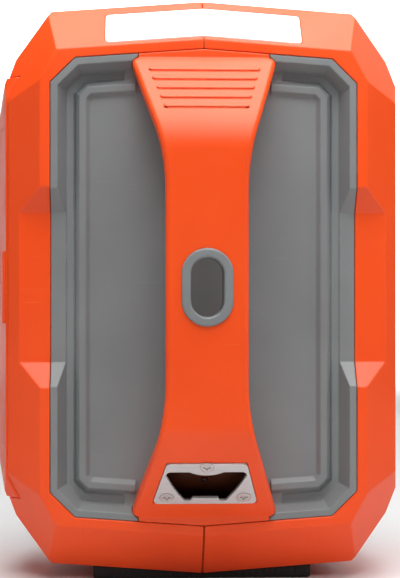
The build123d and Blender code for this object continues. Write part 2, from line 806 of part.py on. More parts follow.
with BuildPart() as opener_plate:
    with BuildSketch(slope_plane(False).offset(-opener_sunk)) as outline:
        Polygon(*opener_outline(), align=None)
        fillet(outline.vertices(), radius=3.0)
    extrude(outline.sketch, amount=opener_thick)
    extrude(mouth_sketch(slope_plane(False).offset(-opener_sunk - 1)), amount=opener_thick + 2,
            mode=Mode.SUBTRACT)
    top = slope_plane(False).offset(opener_thick - opener_sunk)
    for point in opener_screw_points:
        seat = Plane(origin=top.from_local_coords(Vector(*point)), z_dir=top.z_dir)
        clear_r = opener_shank_r + 0.15
        cone = Solid.make_cone(clear_r, opener_screw_r + opener_ring, opener_thick - 0.2,
                               plane=seat.offset(0.2 - opener_thick))
        add(cone, mode=Mode.SUBTRACT)
        disc(seat, clear_r, -opener_thick - 1, mode=Mode.SUBTRACT)
save(opener_plate, "opener_plate")

with BuildPart() as opener_screws:
    shank = opener_boss_depth + opener_thick - 1.5
    screw(top, opener_screw_r, opener_thick - 0.2, opener_shank_r, shank, opener_screw_points,
          countersunk=True)
save(opener_screws, "opener_screws")

# ---------------------------------------------------------------- front and rear panels
seat_z = slope_height(floor_depth, handle_thick) - 0.3
lamp_box = 5.6
lamp_rim = 1.0
lamp_room = lamp_box + 3.4

with BuildPart() as front_panel:
    make_panel_body(front_face)
    add(ridges(front_face))
    add(rim_hollow(front_face) - scallops(panel_wall), mode=Mode.SUBTRACT)
    add(scallops(0), mode=Mode.SUBTRACT)
    # Room for the lamp behind its lens
    add(shell(0, lamp_room) & lamp_prism(lamp_rim + 0.5), mode=Mode.SUBTRACT)
    # Seats for the handle's ends
    with BuildPart(mode=Mode.PRIVATE) as seats:
        extrude(handle_plan(0.25), amount=90)
        block((-60, 60), (-9, floor_depth), (-apex_z, apex_z), mode=Mode.INTERSECT)
        block((-60, 60), (-9, 99), (-seat_z, seat_z), mode=Mode.SUBTRACT)
    for top in (1, -1):
        block((-48, 48), (floor_depth, panel_back), (top * (seat_z - 3), top * (opening_apex_z - 7)))
    add(seats.part, mode=Mode.SUBTRACT)
    disc(front_face(panel_back + 1), 2.6, 20, mode=Mode.SUBTRACT, at_points=base_screw_points)
    for side in (1, -1):
        for height in lug_heights:
            spot = front_face(panel_back)
            disc(spot, 4.0, 1.5, at_points=[(side * lug_x, height)])
            holes(spot.offset(1.8), 1.4, 9, [(side * lug_x, height)])
save(front_panel, "front_panel")

vent_rows, vent_pitch, vent_gap, vent_length = 7, 7.0, 3.2, 88.0
vent_z = -62.0

with BuildPart() as rear_panel:
    make_panel_body(rear_face)
    add(ridges(rear_face))
    add(rim_hollow(rear_face), mode=Mode.SUBTRACT)
    for side in (1, -1):
        for height in lug_heights:
            well = [(side * lug_x, height)]
            disc(rear_face(panel_back), panel_screw_head_r + 2, panel_back - groove_depth + 4,
                 at_points=well)
            disc(rear_face(groove_depth - 1), panel_screw_head_r + 0.5, 20, mode=Mode.SUBTRACT,
                 at_points=well)
            disc(rear_face(panel_back + 1), panel_screw_r + 0.3, 20, mode=Mode.SUBTRACT, at_points=well)
    for row in range(vent_rows):
        height = vent_z + (row - (vent_rows - 1) / 2) * vent_pitch
        plate(rear_face(panel_back + 1), (vent_length, vent_gap), 9, vent_gap / 2 - 0.05,
              mode=Mode.SUBTRACT, at_points=[(0, height)])
    behind = rear_face(panel_back + 1)
    disc(behind, shaft_hole_r, 9, mode=Mode.SUBTRACT, at_points=[(knob_x, fascia_z)])
    disc(behind, button_r + button_gap, 9, mode=Mode.SUBTRACT, at_points=button_spots)
    plate(behind, (display_w - 3, display_h - 3), 9, mode=Mode.SUBTRACT, at_points=[display_spot])
save(rear_panel, "rear_panel")

panel_screw_spots = [(side * lug_x, height) for side in (1, -1) for height in lug_heights]
with BuildPart() as rear_panel_screws:
    screw(rear_face(groove_depth - 1), panel_screw_head_r, panel_screw_head, panel_screw_r, 12,
          panel_screw_spots)
save(rear_panel_screws, "rear_panel_screws")

with BuildPart() as front_panel_screws:
    behind = turned(front_face(panel_back + 0.2 + lug_thick))
    screw(behind, 3.4, 2.0, 1.4, lug_thick + 1.8, panel_screw_spots)
save(front_panel_screws, "front_panel_screws")

with BuildPart() as handle_screws:
    behind = turned(front_face(panel_back))
    screw(behind, 4.6, 3.0, 2.1, panel_back - floor_depth + 7, base_screw_points)
save(handle_screws, "handle_screws")

# ---------------------------------------------------------------- lamp
with BuildPart() as lamp_lens:
    add(shell(-lens_proud, lens_thick) & lamp_prism(0))
save(lamp_lens, "lamp_lens")

with BuildPart() as lamp_reflector:
    add(shell(wall + 0.2, lamp_box + 1.2) & lamp_prism(lamp_rim))
    add(shell(wall - 1, lamp_box) & lamp_prism(-1.0), mode=Mode.SUBTRACT)
    led_spots = [((index - (led_count - 1) / 2) * 11.2, 0) for index in range(led_count)]
    for x, _ in led_spots:
        spot = (x, -v_fall(x) * lamp_plane().y_dir.Z)
        plate(lamp_plane().offset(-25), (6.4, 6.4), 40, mode=Mode.SUBTRACT, at_points=[spot])
save(lamp_reflector, "lamp_reflector")

with BuildPart() as lamp_board:
    add(shell(lamp_box + 1.2, lamp_box + 2.8) & lamp_prism(lamp_rim))
save(lamp_board, "lamp_board")

with BuildPart() as lamp_leds:
    for x, _ in led_spots:
        spot = (x, -v_fall(x) * lamp_plane().y_dir.Z)
        with BuildPart(mode=Mode.PRIVATE) as bar:
            plate(lamp_plane().offset(-25), (5.0, 5.0), 40, at_points=[spot])
        add(shell(lamp_box - 0.7, lamp_box + 1.2) & bar.part)
save(lamp_leds, "lamp_leds")

# ---------------------------------------------------------------- side door and bay
with BuildPart() as side_door:
    opening = space((-flank_x - 9, -60), (door_front, door_rear), (-door_half_z, door_half_z))
    add(shell(-door_proud, door_sunk) & opening)
    field = space((-flank_x - 9, -60), (door_front + 11, door_rear - 11), (-99, 99))
    add(shell(-door_proud - 1, 0.6 - door_proud) & field, mode=Mode.SUBTRACT)
    pull = space((-flank_x - 9, -60), (door_front + 1.5, door_front + 7), (-22, 22))
    add(shell(-door_proud - 1.8, 0) & pull)
    for centre in knuckle_centres:
        half = knuckle_length / 2
        block((hinge_x - 0.6, hinge_x + 2.0), (door_rear - 1.2, hinge_depth),
              (centre - half, centre + half))
    knuckles(knuckle_length, 0, hinge_r)
    knuckles(knuckle_length + 2, 0, hinge_pin_r + running_gap, mode=Mode.SUBTRACT)
save(side_door, "side_door")

with BuildPart() as door_hinge_pins:
    knuckles(knuckle_length + 2 * (hinge_gap + side_knuckle) - 1, 0, hinge_pin_r)
save(door_hinge_pins, "door_hinge_pins")

bay_outer = ((-flank_x, bay_floor_x + bay_wall), (bay_front - bay_wall, bay_rear + bay_wall),
             (-bay_half_z - bay_wall, bay_half_z + bay_wall))
bay_inner = ((-flank_x - 9, bay_floor_x), (bay_front, bay_rear), (-bay_half_z, bay_half_z))

with BuildPart() as port_bay:
    add(space(*bay_outer) & case_form(wall + 0.1))
    flange = space((-flank_x, -60), (bay_front - bay_flange, bay_rear + bay_flange),
                   (-bay_half_z - bay_flange, bay_half_z + bay_flange))
    add(shell(wall + 0.1, wall + bay_wall) & flange)
    block(*bay_inner, mode=Mode.SUBTRACT)
    floor_plane = left_face(bay_floor_x, aux_depth, 0)
    disc(floor_plane, aux_bore_r + aux_wall + 0.2, -5, mode=Mode.SUBTRACT, at_points=[(0, aux_z)])
    plate(floor_plane, (16.4, 30.4), -5, mode=Mode.SUBTRACT, at_points=[(0, usb_z)])
    disc(floor_plane, 6.2, -5, mode=Mode.SUBTRACT, at_points=[(0, charge_z)])
    for shift in (-contact_half_pitch, contact_half_pitch):
        disc(floor_plane, 6.2, -5, mode=Mode.SUBTRACT, at_points=[(0, jump_z + shift)])
save(port_bay, "port_bay")

with BuildPart() as door_seal:
    lip = 1.6
    add(shell(door_sunk + swing_gap + 0.05, wall + 0.05) & space(
        (-flank_x, -60), (bay_front + 0.1, bay_rear - 0.1), (0.1 - bay_half_z, bay_half_z - 0.1)))
    block((-flank_x - 9, -60), (bay_front + lip, bay_rear - lip), (lip - bay_half_z, bay_half_z - lip),
          mode=Mode.SUBTRACT)
save(door_seal, "door_seal")


def bay_plane(height, proud=0.0):
    """Plane on the bay's floor that faces its mouth, at a height and standing proud of it."""
    return left_face(bay_floor_x - proud, aux_depth, height)


aux_flange, aux_flange_thick = aux_bore_r + 5.0, 2.0
cap_r = aux_flange - 1.5
cap_lift = 0.3
cap_plug = 3.0
cap_fit = 0.5
cap_pin_x = bay_floor_x - 4.2
cap_pin_depth = aux_depth + aux_flange + 2.1
cap_pin_r = 0.8

with BuildPart() as aux_socket:
    disc(bay_plane(aux_z), aux_flange, aux_flange_thick)
    disc(bay_plane(aux_z), aux_bore_r + aux_wall, -(aux_depth_in - aux_flange_thick) - 2.5)
    disc(bay_plane(aux_z, aux_flange_thick), aux_mouth_r, -aux_mouth, mode=Mode.SUBTRACT)
    disc(bay_plane(aux_z, aux_flange_thick), aux_bore_r, -aux_length, mode=Mode.SUBTRACT)
    disc(bay_plane(aux_z, aux_flange_thick), aux_chamber_r, -aux_depth_in, mode=Mode.SUBTRACT)
    for end in (1, -1):
        middle = aux_z + end * 7.5
        block((bay_floor_x - 6.0, bay_floor_x), (cap_pin_depth - 2.6, cap_pin_depth + 2.4),
              (middle - 1.5, middle + 1.5))
        block((bay_floor_x - aux_flange_thick, bay_floor_x), (cap_pin_depth - 7.6, cap_pin_depth + 2.4),
              (middle - 1.5, middle + 1.5))
    disc(Plane(origin=at(cap_pin_x, cap_pin_depth, aux_z - 20)), cap_pin_r, 40, mode=Mode.SUBTRACT)
    disc(bay_plane(aux_z, -(aux_depth_in - aux_flange_thick) + 1), 2.5, -5, mode=Mode.SUBTRACT)
save(aux_socket, "aux_socket")

with BuildPart() as aux_contact:
    base = bay_plane(aux_z, -(aux_depth_in - aux_flange_thick))
    disc(base, 2.45, -8)
    disc(base, 3.6, 1.6)
    fillet(aux_contact.faces().sort_by(Axis.X)[0].edges(), radius=1.2)
save(aux_contact, "aux_contact")

with BuildPart() as aux_cap_pin:
    disc(Plane(origin=at(cap_pin_x, cap_pin_depth, aux_z - 9)), cap_pin_r, 18)
save(aux_cap_pin, "aux_cap_pin")

with BuildPart() as aux_cap:
    lid = bay_plane(aux_z, aux_flange_thick + cap_lift)
    disc(lid, cap_r, 3.0)
    disc(lid, aux_mouth_r - cap_fit, -cap_plug)
    disc(lid, aux_mouth_r - cap_fit - 1.8, -cap_plug, mode=Mode.SUBTRACT)
    tongue = (bay_floor_x - 5.3, bay_floor_x - 3.1)
    block(tongue, (cap_pin_depth - 9.6, cap_pin_depth), (aux_z - 5.6, aux_z + 5.6))
    barrel = Plane(origin=at(cap_pin_x, cap_pin_depth, aux_z - 5.6))
    disc(barrel, 1.9, 11.2)
    disc(barrel.offset(-1), cap_pin_r + running_gap, 14, mode=Mode.SUBTRACT)
    block(tongue, (aux_depth - aux_flange, aux_depth - cap_r + 2.0), (aux_z - 4.0, aux_z + 4.0))
save(aux_cap, "aux_cap")

usb_spots = ((0, 7.2), (0, -7.2))
with BuildPart() as usb_socket:
    plate(bay_plane(usb_z), (22.0, 36.0), 1.6, 3.0)
    plate(bay_plane(usb_z), (16.0, 30.0), -10)
    plate(bay_plane(usb_z, 1.6), (13.1, 5.8), -10, mode=Mode.SUBTRACT, at_points=usb_spots)
save(usb_socket, "usb_socket")

with BuildPart() as usb_tongues:
    for _, shift in usb_spots:
        plate(bay_plane(usb_z, -8.4), (11.0, 1.8), 8.4, at_points=[(0, shift + 1.1)])
save(usb_tongues, "usb_tongues")

with BuildPart() as charge_inlet:
    disc(bay_plane(charge_z), 8.5, 1.8)
    disc(bay_plane(charge_z), 6.0, -10)
    disc(bay_plane(charge_z, 1.8), 2.9, -10, mode=Mode.SUBTRACT)
save(charge_inlet, "charge_inlet")

with BuildPart() as charge_pin:
    disc(bay_plane(charge_z, -8.2), 1.05, 8.0)
save(charge_pin, "charge_pin")

contact_spots = ((0, contact_half_pitch), (0, -contact_half_pitch))
with BuildPart() as jump_socket:
    plate(bay_plane(jump_z), jump_size[::-1], jump_proud, 6.0)
    plate(bay_plane(jump_z, 4.0), (jump_size[1] - 7, jump_size[0] - 7), jump_proud, 3.5, mode=Mode.SUBTRACT)
    plate(bay_plane(jump_z, 4.0), (5.0, jump_size[0] + 2), 3.0, mode=Mode.ADD)
    plate(bay_plane(jump_z), (jump_size[1] + 14, 20), 3.0, 3.0)
    disc(bay_plane(jump_z), contact_r + 0.05, 20, mode=Mode.SUBTRACT, at_points=contact_spots)
save(jump_socket, "jump_socket")

with BuildPart() as jump_contacts:
    disc(bay_plane(jump_z, -9.0), contact_r, 24.0, at_points=contact_spots)
    fillet(jump_contacts.faces().sort_by(Axis.X)[:2].edges(), radius=1.5)
save(jump_contacts, "jump_contacts")

# ---------------------------------------------------------------- rear controls
fascia_face = floor_depth - fascia_thick


def rear_spot(x, height, depth):
    """Plane on the rear side at local x and a height, this far in from the rear plane."""
    base = rear_face(depth)
    return Plane(origin=base.from_local_coords(Vector(x, height)), x_dir=(-1, 0, 0), z_dir=(0, 1, 0))


with BuildPart() as control_fascia:
    plate(rear_spot(0, fascia_z, floor_depth), (fascia_w, fascia_h), fascia_thick, 8.0)
    chamfer(control_fascia.faces().sort_by(Axis.Y)[-1].edges(), length=1.0)
    for x, height in button_spots:
        disc(rear_spot(x, height, floor_depth + 1), button_r + button_gap, 9, mode=Mode.SUBTRACT)
    disc(rear_spot(knob_x, fascia_z, floor_depth + 1), shaft_hole_r, 9, mode=Mode.SUBTRACT)
    window = rear_spot(*display_spot, floor_depth)
    plate(window.offset(1.4), (display_w, display_h), 9, 2.0, mode=Mode.SUBTRACT)
    plate(window.offset(-1), (display_w - 3, display_h - 3), 9, mode=Mode.SUBTRACT)
save(control_fascia, "control_fascia")

with BuildPart() as display_window:
    plate(window.offset(1.4), (display_w - 0.3, display_h - 0.3), 1.6, 1.8)
save(display_window, "display_window")

with BuildPart() as status_display:
    plate(window.offset(-5.0), (display_w - 4, display_h - 4), 5.6)
save(status_display, "status_display")


def make_button(spot, name):
    """Push button with a retaining flange and a stem."""
    with BuildPart() as button:
        disc(spot.offset(-panel_back + floor_depth - 0.3), button_r, panel_back + 0.3 - fascia_face + 2.2)
        fillet(button.faces().sort_by(Axis.Y)[-1].edges(), radius=1.2)
        disc(spot.offset(-panel_back + floor_depth - 0.2), button_r + 2.0, -1.8)
        disc(spot.offset(-panel_back + floor_depth - 0.2), 2.0, -4.0)
    save(button, name)


make_button(rear_spot(*button_spots[0], floor_depth), "power_button")
make_button(rear_spot(*button_spots[1], floor_depth), "lamp_button")

board_face = panel_back + 9.0
with BuildPart() as button_switches:
    for x, height in button_spots:
        plate(rear_spot(x, height, board_face), (6.2, 6.2), 2.4)
        disc(rear_spot(x, height, board_face), 1.6, board_face - panel_back - 4.2 - button_travel - 0.3)
save(button_switches, "button_switches")

with BuildPart() as control_board:
    middle = (button_x + button_x + button_pitch) / 2
    plate(rear_spot(middle, fascia_z - 2, board_face + board_thick), (58, 66), board_thick, 2.0)
save(control_board, "control_board")

shaft_r = 4.0
knob_spot = rear_spot(knob_x, fascia_z, fascia_face - 0.3)
with BuildPart() as boost_knob:
    disc(knob_spot, knob_r, 4.0)
    disc(knob_spot, knob_r - 4.0, 5.0)
    plate(knob_spot, (9.0, 2 * knob_r - 3.0), fascia_face - 0.3, 4.0)
    fillet(boost_knob.faces().sort_by(Axis.Y)[-1].edges(), radius=1.2)
    disc(knob_spot, shaft_r + running_gap, shaft_grip, mode=Mode.SUBTRACT)
save(boost_knob, "boost_knob")

with BuildPart() as boost_switch:
    plate(rear_spot(knob_x, fascia_z, panel_back), (38.0, 38.0), -26.0, 3.0)
    disc(rear_spot(knob_x, fascia_z, panel_back), shaft_r, panel_back - fascia_face + shaft_grip)
    for shift in (10, -10):
        plate(rear_spot(knob_x + shift, fascia_z, panel_back + 26), (8.0, 2.0), -7.0)
save(boost_switch, "boost_switch")

# ---------------------------------------------------------------- battery
battery_front = mid_depth - battery_d / 2
battery_rear = mid_depth + battery_d / 2
battery_left, battery_right = battery_x - battery_w / 2, battery_x + battery_w / 2
battery_top_z = battery_bottom_z + battery_h
battery_wall = 3.0
cell_count = 6
cell_gap = 2.0

with BuildPart() as battery_case:
    block((battery_left, battery_right), (battery_front, battery_rear), (battery_bottom_z, battery_top_z))
    fillet(battery_case.edges().filter_by(Axis.Z), radius=2.0)
    pitch = (battery_w - 2 * battery_wall + cell_gap) / cell_count
    for index in range(cell_count):
        start = battery_left + battery_wall + index * pitch
        block((start, start + pitch - cell_gap),
              (battery_front + battery_wall, battery_rear - battery_wall),
              (battery_bottom_z + battery_wall, battery_top_z - 16), mode=Mode.SUBTRACT)
    for x in (battery_left, battery_right - 22):
        block((x, x + 22), (battery_front, battery_front + 22), (battery_top_z - 9, battery_top_z),
              mode=Mode.SUBTRACT)
save(battery_case, "battery_case")

with BuildPart() as battery_cells:
    for index in range(cell_count):
        start = battery_left + battery_wall + index * pitch
        block((start, start + pitch - cell_gap),
              (battery_front + battery_wall, battery_rear - battery_wall),
              (battery_bottom_z + battery_wall, battery_top_z - 16))
save(battery_cells, "battery_cells")

terminal_x = (battery_left + 11, battery_right - 11)
terminal_depth = battery_front + 11
with BuildPart() as battery_terminals:
    for x in terminal_x:
        block((x - 7, x + 7), (terminal_depth - 7, terminal_depth + 7),
              (battery_top_z - 9, battery_top_z - 6))
        disc(Plane(origin=at(x, terminal_depth, battery_top_z - 7)), 2.5, 3, mode=Mode.SUBTRACT)
save(battery_terminals, "battery_terminals")

pad_thick = 3.0
with BuildPart() as battery_pads:
    for x in (battery_left + 22, battery_right - 22):
        block((x - 15, x + 15), (battery_front + 6, battery_rear - 6),
              (battery_bottom_z - pad_thick, battery_bottom_z))
save(battery_pads, "battery_pads")

tray_wall = 2.5
tray_height = 26.0
tray_floor_z = battery_bottom_z - pad_thick
with BuildPart() as battery_tray:
    block((battery_left - tray_wall - 0.5, battery_right - 12), (battery_front - tray_wall - 0.5,
          battery_rear + tray_wall + 0.5), (tray_floor_z - tray_wall, battery_bottom_z + tray_height))
    block((battery_left - 0.5, battery_right), (battery_front - 0.5, battery_rear + 0.5),
          (tray_floor_z, battery_top_z), mode=Mode.SUBTRACT)
    for x in (battery_left + 14, battery_right - 40, battery_x):
        rib = space((x - 1.5, x + 1.5), (battery_front + 12, battery_rear - 12),
                    (-apex_z, tray_floor_z - tray_wall))
        add(rib & case_form(wall))
save(battery_tray, "battery_tray")

strap_x = (battery_x - 45, battery_x + 45)
with BuildPart() as battery_straps:
    for x in strap_x:
        half = strap_width / 2
        low = battery_bottom_z + tray_height - 14
        block((x - half, x + half), (battery_front - tray_wall - 0.5 - strap_thick, battery_rear
              + tray_wall + 0.5 + strap_thick), (low, battery_top_z + strap_thick))
        block((x - half - 1, x + half + 1),
              (battery_front - tray_wall - 0.5, battery_rear + tray_wall + 0.5),
              (low - 1, battery_top_z), mode=Mode.SUBTRACT)
save(battery_straps, "battery_straps")

with BuildPart() as strap_screws:
    for x in strap_x:
        height = battery_bottom_z + tray_height - 7
        for depth, direction in ((battery_front - tray_wall - 0.5 - strap_thick, -1),
                                 (battery_rear + tray_wall + 0.5 + strap_thick, 1)):
            spot = Plane(origin=at(x, depth, height), z_dir=(0, direction, 0))
            disc(spot, 4.0, 2.4)
save(strap_screws, "strap_screws")

# ---------------------------------------------------------------- electronics
board_z = 84.0
standoff_r = 3.5
standoff_spots = [(sx * (board_w / 2 - 7), sz * (board_h / 2 - 7)) for sx in (1, -1) for sz in (1, -1)]
main_spot = rear_spot(0, board_z, board_back + board_thick)

with BuildPart() as main_board:
    plate(main_spot, (board_w, board_h), board_thick, 2.0)
    disc(main_spot.offset(-1), 1.7, 5, mode=Mode.SUBTRACT, at_points=standoff_spots)
save(main_board, "main_board")

with BuildPart() as board_standoffs:
    disc(main_spot.offset(board_thick), standoff_r, board_back - floor_back, at_points=standoff_spots)
    holes(main_spot.offset(board_thick + 8), 1.6, 9, standoff_spots)
save(board_standoffs, "board_standoffs")

with BuildPart() as board_screws:
    spot = turned(main_spot)
    screw(spot, 3.0, 1.8, 1.6, board_thick + 6, standoff_spots)
save(board_screws, "board_screws")

with BuildPart() as board_components:
    for x, y, w, h, t in ((-46, 16, 26, 18, 14), (-14, 24, 18, 18, 9), (16, 24, 14, 14, 4),
                          (48, -16, 26, 20, 4), (-48, -18, 12, 26, 10)):
        plate(main_spot, (w, h), -t, at_points=[(x, y)])
    disc(main_spot, 5.0, -18.0, at_points=((42, 22), (55, 22)))
save(board_components, "board_components")

with BuildPart() as heat_sink:
    fin_count, fin_pitch = 7, 5.0
    plate(main_spot, (fin_count * fin_pitch - 3, 40.0), -4.0, at_points=[(0, -14)])
    for index in range(fin_count):
        x = (index - (fin_count - 1) / 2) * fin_pitch
        plate(main_spot.offset(-4.0), (1.6, 40.0), -14.0, at_points=[(x, -14)])
save(heat_sink, "heat_sink")

# ---------------------------------------------------------------- heavy cables inside the case
lug_plate = 2.0
contact_x = bay_floor_x + 9.0


def cable(points, radii, name):
    """Round cable along straight runs joined by arcs."""
    with BuildLine() as route:
        FilletPolyline(*points, radius=radii)
    with BuildPart() as lead:
        with BuildSketch(Plane(origin=route.line @ 0, z_dir=route.line % 0)) as end:
            Circle(cable_r)
        sweep(end.sketch, path=route.line)
    length = sum(edge.length for edge in route.edges())
    share = lead.part.volume / (pi * cable_r**2 * length)
    print(name, "length", round(length), "volume share", round(share, 4))
    save(lead, name)


terminal_z = battery_top_z - 6
cable_x = bay_floor_x + bay_wall + 2.4 + cable_r + 0.7
left_x, right_x = terminal_x
top_run_z = battery_top_z + 18
negative_depth = terminal_depth
positive_depth = aux_depth + 23
negative_z, positive_z = jump_z + contact_half_pitch, jump_z - contact_half_pitch
lug_reach = 6.0

negative_points = [
    at(left_x, terminal_depth, terminal_z + lug_plate),
    at(left_x, terminal_depth, top_run_z),
    at(cable_x, negative_depth, top_run_z + 3),
    at(cable_x, negative_depth, negative_z + lug_reach),
]
positive_points = [
    at(right_x, terminal_depth, terminal_z + lug_plate),
    at(right_x, terminal_depth, top_run_z),
    at(right_x - 60, terminal_depth + 6, top_run_z + 2),
    at(-10, terminal_depth + 9, top_run_z - 1),
    at(cable_x, positive_depth - 8, top_run_z),
    at(cable_x, positive_depth, top_run_z - 42),
    at(cable_x, positive_depth, positive_z + lug_reach),
]
cable(negative_points, [8.0, 8.0], "negative_cable")
cable(positive_points, [14.0, 60.0, 60.0, 14.0, 20.0], "positive_cable")

with BuildPart() as cable_lugs:
    for x in terminal_x:
        disc(Plane(origin=at(x, terminal_depth, terminal_z)), 6.0, lug_plate)
    for depth, height in ((negative_depth, negative_z), (positive_depth, positive_z)):
        reach = (min(depth, aux_depth) - 4.5, max(depth, aux_depth) + 4.5)
        block((contact_x, contact_x + lug_plate), reach, (height - 4.5, height + 4.5))
        disc(Plane(origin=at(cable_x, depth, height)), cable_r, lug_reach)
save(cable_lugs, "cable_lugs")
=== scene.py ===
"""Jump starter pack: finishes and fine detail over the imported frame.

Metres, +Z up, the carrying handle towards -Y. Sizes below are written in millimetres times MM.
"""
import json
import math

import bmesh
import bpy
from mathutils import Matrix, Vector


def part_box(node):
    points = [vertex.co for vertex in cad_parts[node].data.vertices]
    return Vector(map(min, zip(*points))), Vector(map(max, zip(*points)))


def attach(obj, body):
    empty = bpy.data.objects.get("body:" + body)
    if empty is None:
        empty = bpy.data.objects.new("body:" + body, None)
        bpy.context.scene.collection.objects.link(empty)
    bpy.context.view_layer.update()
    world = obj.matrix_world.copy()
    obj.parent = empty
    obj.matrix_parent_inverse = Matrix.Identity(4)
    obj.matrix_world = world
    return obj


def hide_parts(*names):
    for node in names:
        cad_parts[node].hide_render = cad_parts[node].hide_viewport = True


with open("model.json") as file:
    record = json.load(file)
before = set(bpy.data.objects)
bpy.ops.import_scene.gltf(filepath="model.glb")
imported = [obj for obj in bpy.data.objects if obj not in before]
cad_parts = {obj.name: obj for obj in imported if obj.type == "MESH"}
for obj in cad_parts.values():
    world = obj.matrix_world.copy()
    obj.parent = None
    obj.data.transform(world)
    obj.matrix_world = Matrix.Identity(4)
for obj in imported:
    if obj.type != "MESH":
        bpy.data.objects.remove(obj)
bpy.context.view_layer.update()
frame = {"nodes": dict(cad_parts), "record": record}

MM = 0.001
NODES = frame["nodes"]
SLOT_OF = {part["node"]: part["material_slot"] for part in frame["record"]["subparts"]}
BODY_OF = {
    node: body
    for body, members in frame["record"]["behaviour"]["bodies"].items()
    for node in members
}

# Camera and framing
FRAME_W, FRAME_H = 400, 578
SPAN_W = 240.0 * MM             # width seen at the front plane
CAMERA_REACH = 1000.0 * MM      # from the front plane
CAMERA_SIDE = -48.0 * MM
AIM_X, AIM_DROP = -2.5 * MM, 1.0 * MM
SENSOR = 36.0

# Places read from the frame
PANEL_LOW, PANEL_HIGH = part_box("front_panel")
FRONT_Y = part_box("left_housing")[0].y
REAR_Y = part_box("right_housing")[1].y
MIDDLE_Z = (PANEL_LOW.z + PANEL_HIGH.z) / 2


# ---------------------------------------------------------------- node tree helpers
def add_node(tree, kind, **values):
    """A node with its properties and unlinked inputs set by name."""
    node = tree.nodes.new(kind)
    for key, value in values.items():
        if hasattr(node, key):
            setattr(node, key, value)
        else:
            node.inputs[key.replace("_", " ")].default_value = value
    return node


def join(tree, start, end):
    """Link two sockets."""
    tree.links.new(start, end)


def math_node(tree, operation, first, second=None, clamp=False):
    """A Math node; each operand is a number or a socket."""
    node = tree.nodes.new("ShaderNodeMath")
    node.operation = operation
    node.use_clamp = clamp
    for index, operand in enumerate((first, second)):
        if operand is None:
            continue
        if isinstance(operand, (int, float)):
            node.inputs[index].default_value = operand
        else:
            join(tree, operand, node.inputs[index])
    return node.outputs[0]


def remap(tree, value, low, high, out_low=0.0, out_high=1.0):
    """A clamped linear change of range."""
    node = tree.nodes.new("ShaderNodeMapRange")
    for index, number in enumerate((low, high, out_low, out_high), 1):
        if isinstance(number, (int, float)):
            node.inputs[index].default_value = number
        else:
            join(tree, number, node.inputs[index])
    join(tree, value, node.inputs[0])
    return node.outputs[0]


def blend_colours(tree, factor, first, second):
    """Mix of two colours; each is a tuple or a socket."""
    node = tree.nodes.new("ShaderNodeMix")
    node.data_type = "RGBA"
    join(tree, factor, node.inputs["Factor"])
    for index, colour in ((6, first), (7, second)):
        if isinstance(colour, tuple):
            node.inputs[index].default_value = (*colour, 1.0)
        else:
            join(tree, colour, node.inputs[index])
    return node.outputs[2]


def new_group(name, inputs, outputs):
    """An empty shader group with named float inputs and outputs."""
    group = bpy.data.node_groups.new(name, "ShaderNodeTree")
    for label, value in inputs:
        socket = group.interface.new_socket(label, in_out="INPUT", socket_type="NodeSocketFloat")
        socket.default_value = value
    for label in outputs:
        kind = "NodeSocketVector" if label == "Normal" else "NodeSocketFloat"
        group.interface.new_socket(label, in_out="OUTPUT", socket_type=kind)
    return group, group.nodes.new("NodeGroupInput"), group.nodes.new("NodeGroupOutput")


def use_group(tree, group, **values):
    """A placed group with its own input values."""
    node = tree.nodes.new("ShaderNodeGroup")
    node.node_tree = group
    for label, value in values.items():
        node.inputs[label.replace("_", " ")].default_value = value
    return node


# ---------------------------------------------------------------- shared effects
def make_grain():
    """Fine spark-eroded grain of a moulding tool, with a slow drift in its strength."""
    group, given, result = new_group("moulded grain", [("Scale", 1800.0)], ["Height", "Drift"])
    place = add_node(group, "ShaderNodeTexCoord")
    fine = add_node(group, "ShaderNodeTexNoise", Detail=3.0, Roughness=0.6)
    pits = add_node(group, "ShaderNodeTexVoronoi", feature="SMOOTH_F1", Smoothness=0.6)
    slow = add_node(group, "ShaderNodeTexNoise", Scale=14.0, Detail=2.0)
    for texture in (fine, pits, slow):
        join(group, place.outputs["Object"], texture.inputs["Vector"])
    join(group, given.outputs["Scale"], fine.inputs["Scale"])
    join(group, math_node(group, "MULTIPLY", given.outputs["Scale"], 0.6), pits.inputs["Scale"])
    rise = math_node(group, "MULTIPLY", fine.outputs["Fac"], 0.65)
    dip = math_node(group, "MULTIPLY", pits.outputs["Distance"], 0.45)
    join(group, math_node(group, "ADD", rise, dip), result.inputs["Height"])
    join(group, remap(group, slow.outputs["Fac"], 0.35, 0.65), result.inputs["Drift"])
    return group


def make_wear():
    """Mask of the rubbed edges, broken up along their length."""
    group, given, result = new_group(
        "edge wear", [("Radius", 0.0012), ("Breakup", 90.0), ("Amount", 1.0)], ["Mask", "Normal"]
    )
    place = add_node(group, "ShaderNodeTexCoord")
    rounded = add_node(group, "ShaderNodeBevel", samples=4)
    join(group, given.outputs["Radius"], rounded.inputs["Radius"])
    shape = add_node(group, "ShaderNodeNewGeometry")
    turn = add_node(group, "ShaderNodeVectorMath", operation="DOT_PRODUCT")
    join(group, rounded.outputs["Normal"], turn.inputs[0])
    join(group, shape.outputs["Normal"], turn.inputs[1])
    join(group, rounded.outputs["Normal"], result.inputs["Normal"])
    edge = remap(group, turn.outputs["Value"], 0.995, 0.90)
    patches = add_node(group, "ShaderNodeTexNoise", Detail=5.0, Roughness=0.7)
    join(group, place.outputs["Object"], patches.inputs["Vector"])
    join(group, given.outputs["Breakup"], patches.inputs["Scale"])
    broken = remap(group, patches.outputs["Fac"], 0.42, 0.68)
    mask = math_node(group, "MULTIPLY", edge, broken)
    join(group, math_node(group, "MULTIPLY", mask, given.outputs["Amount"], True), result.inputs["Mask"])
    return group


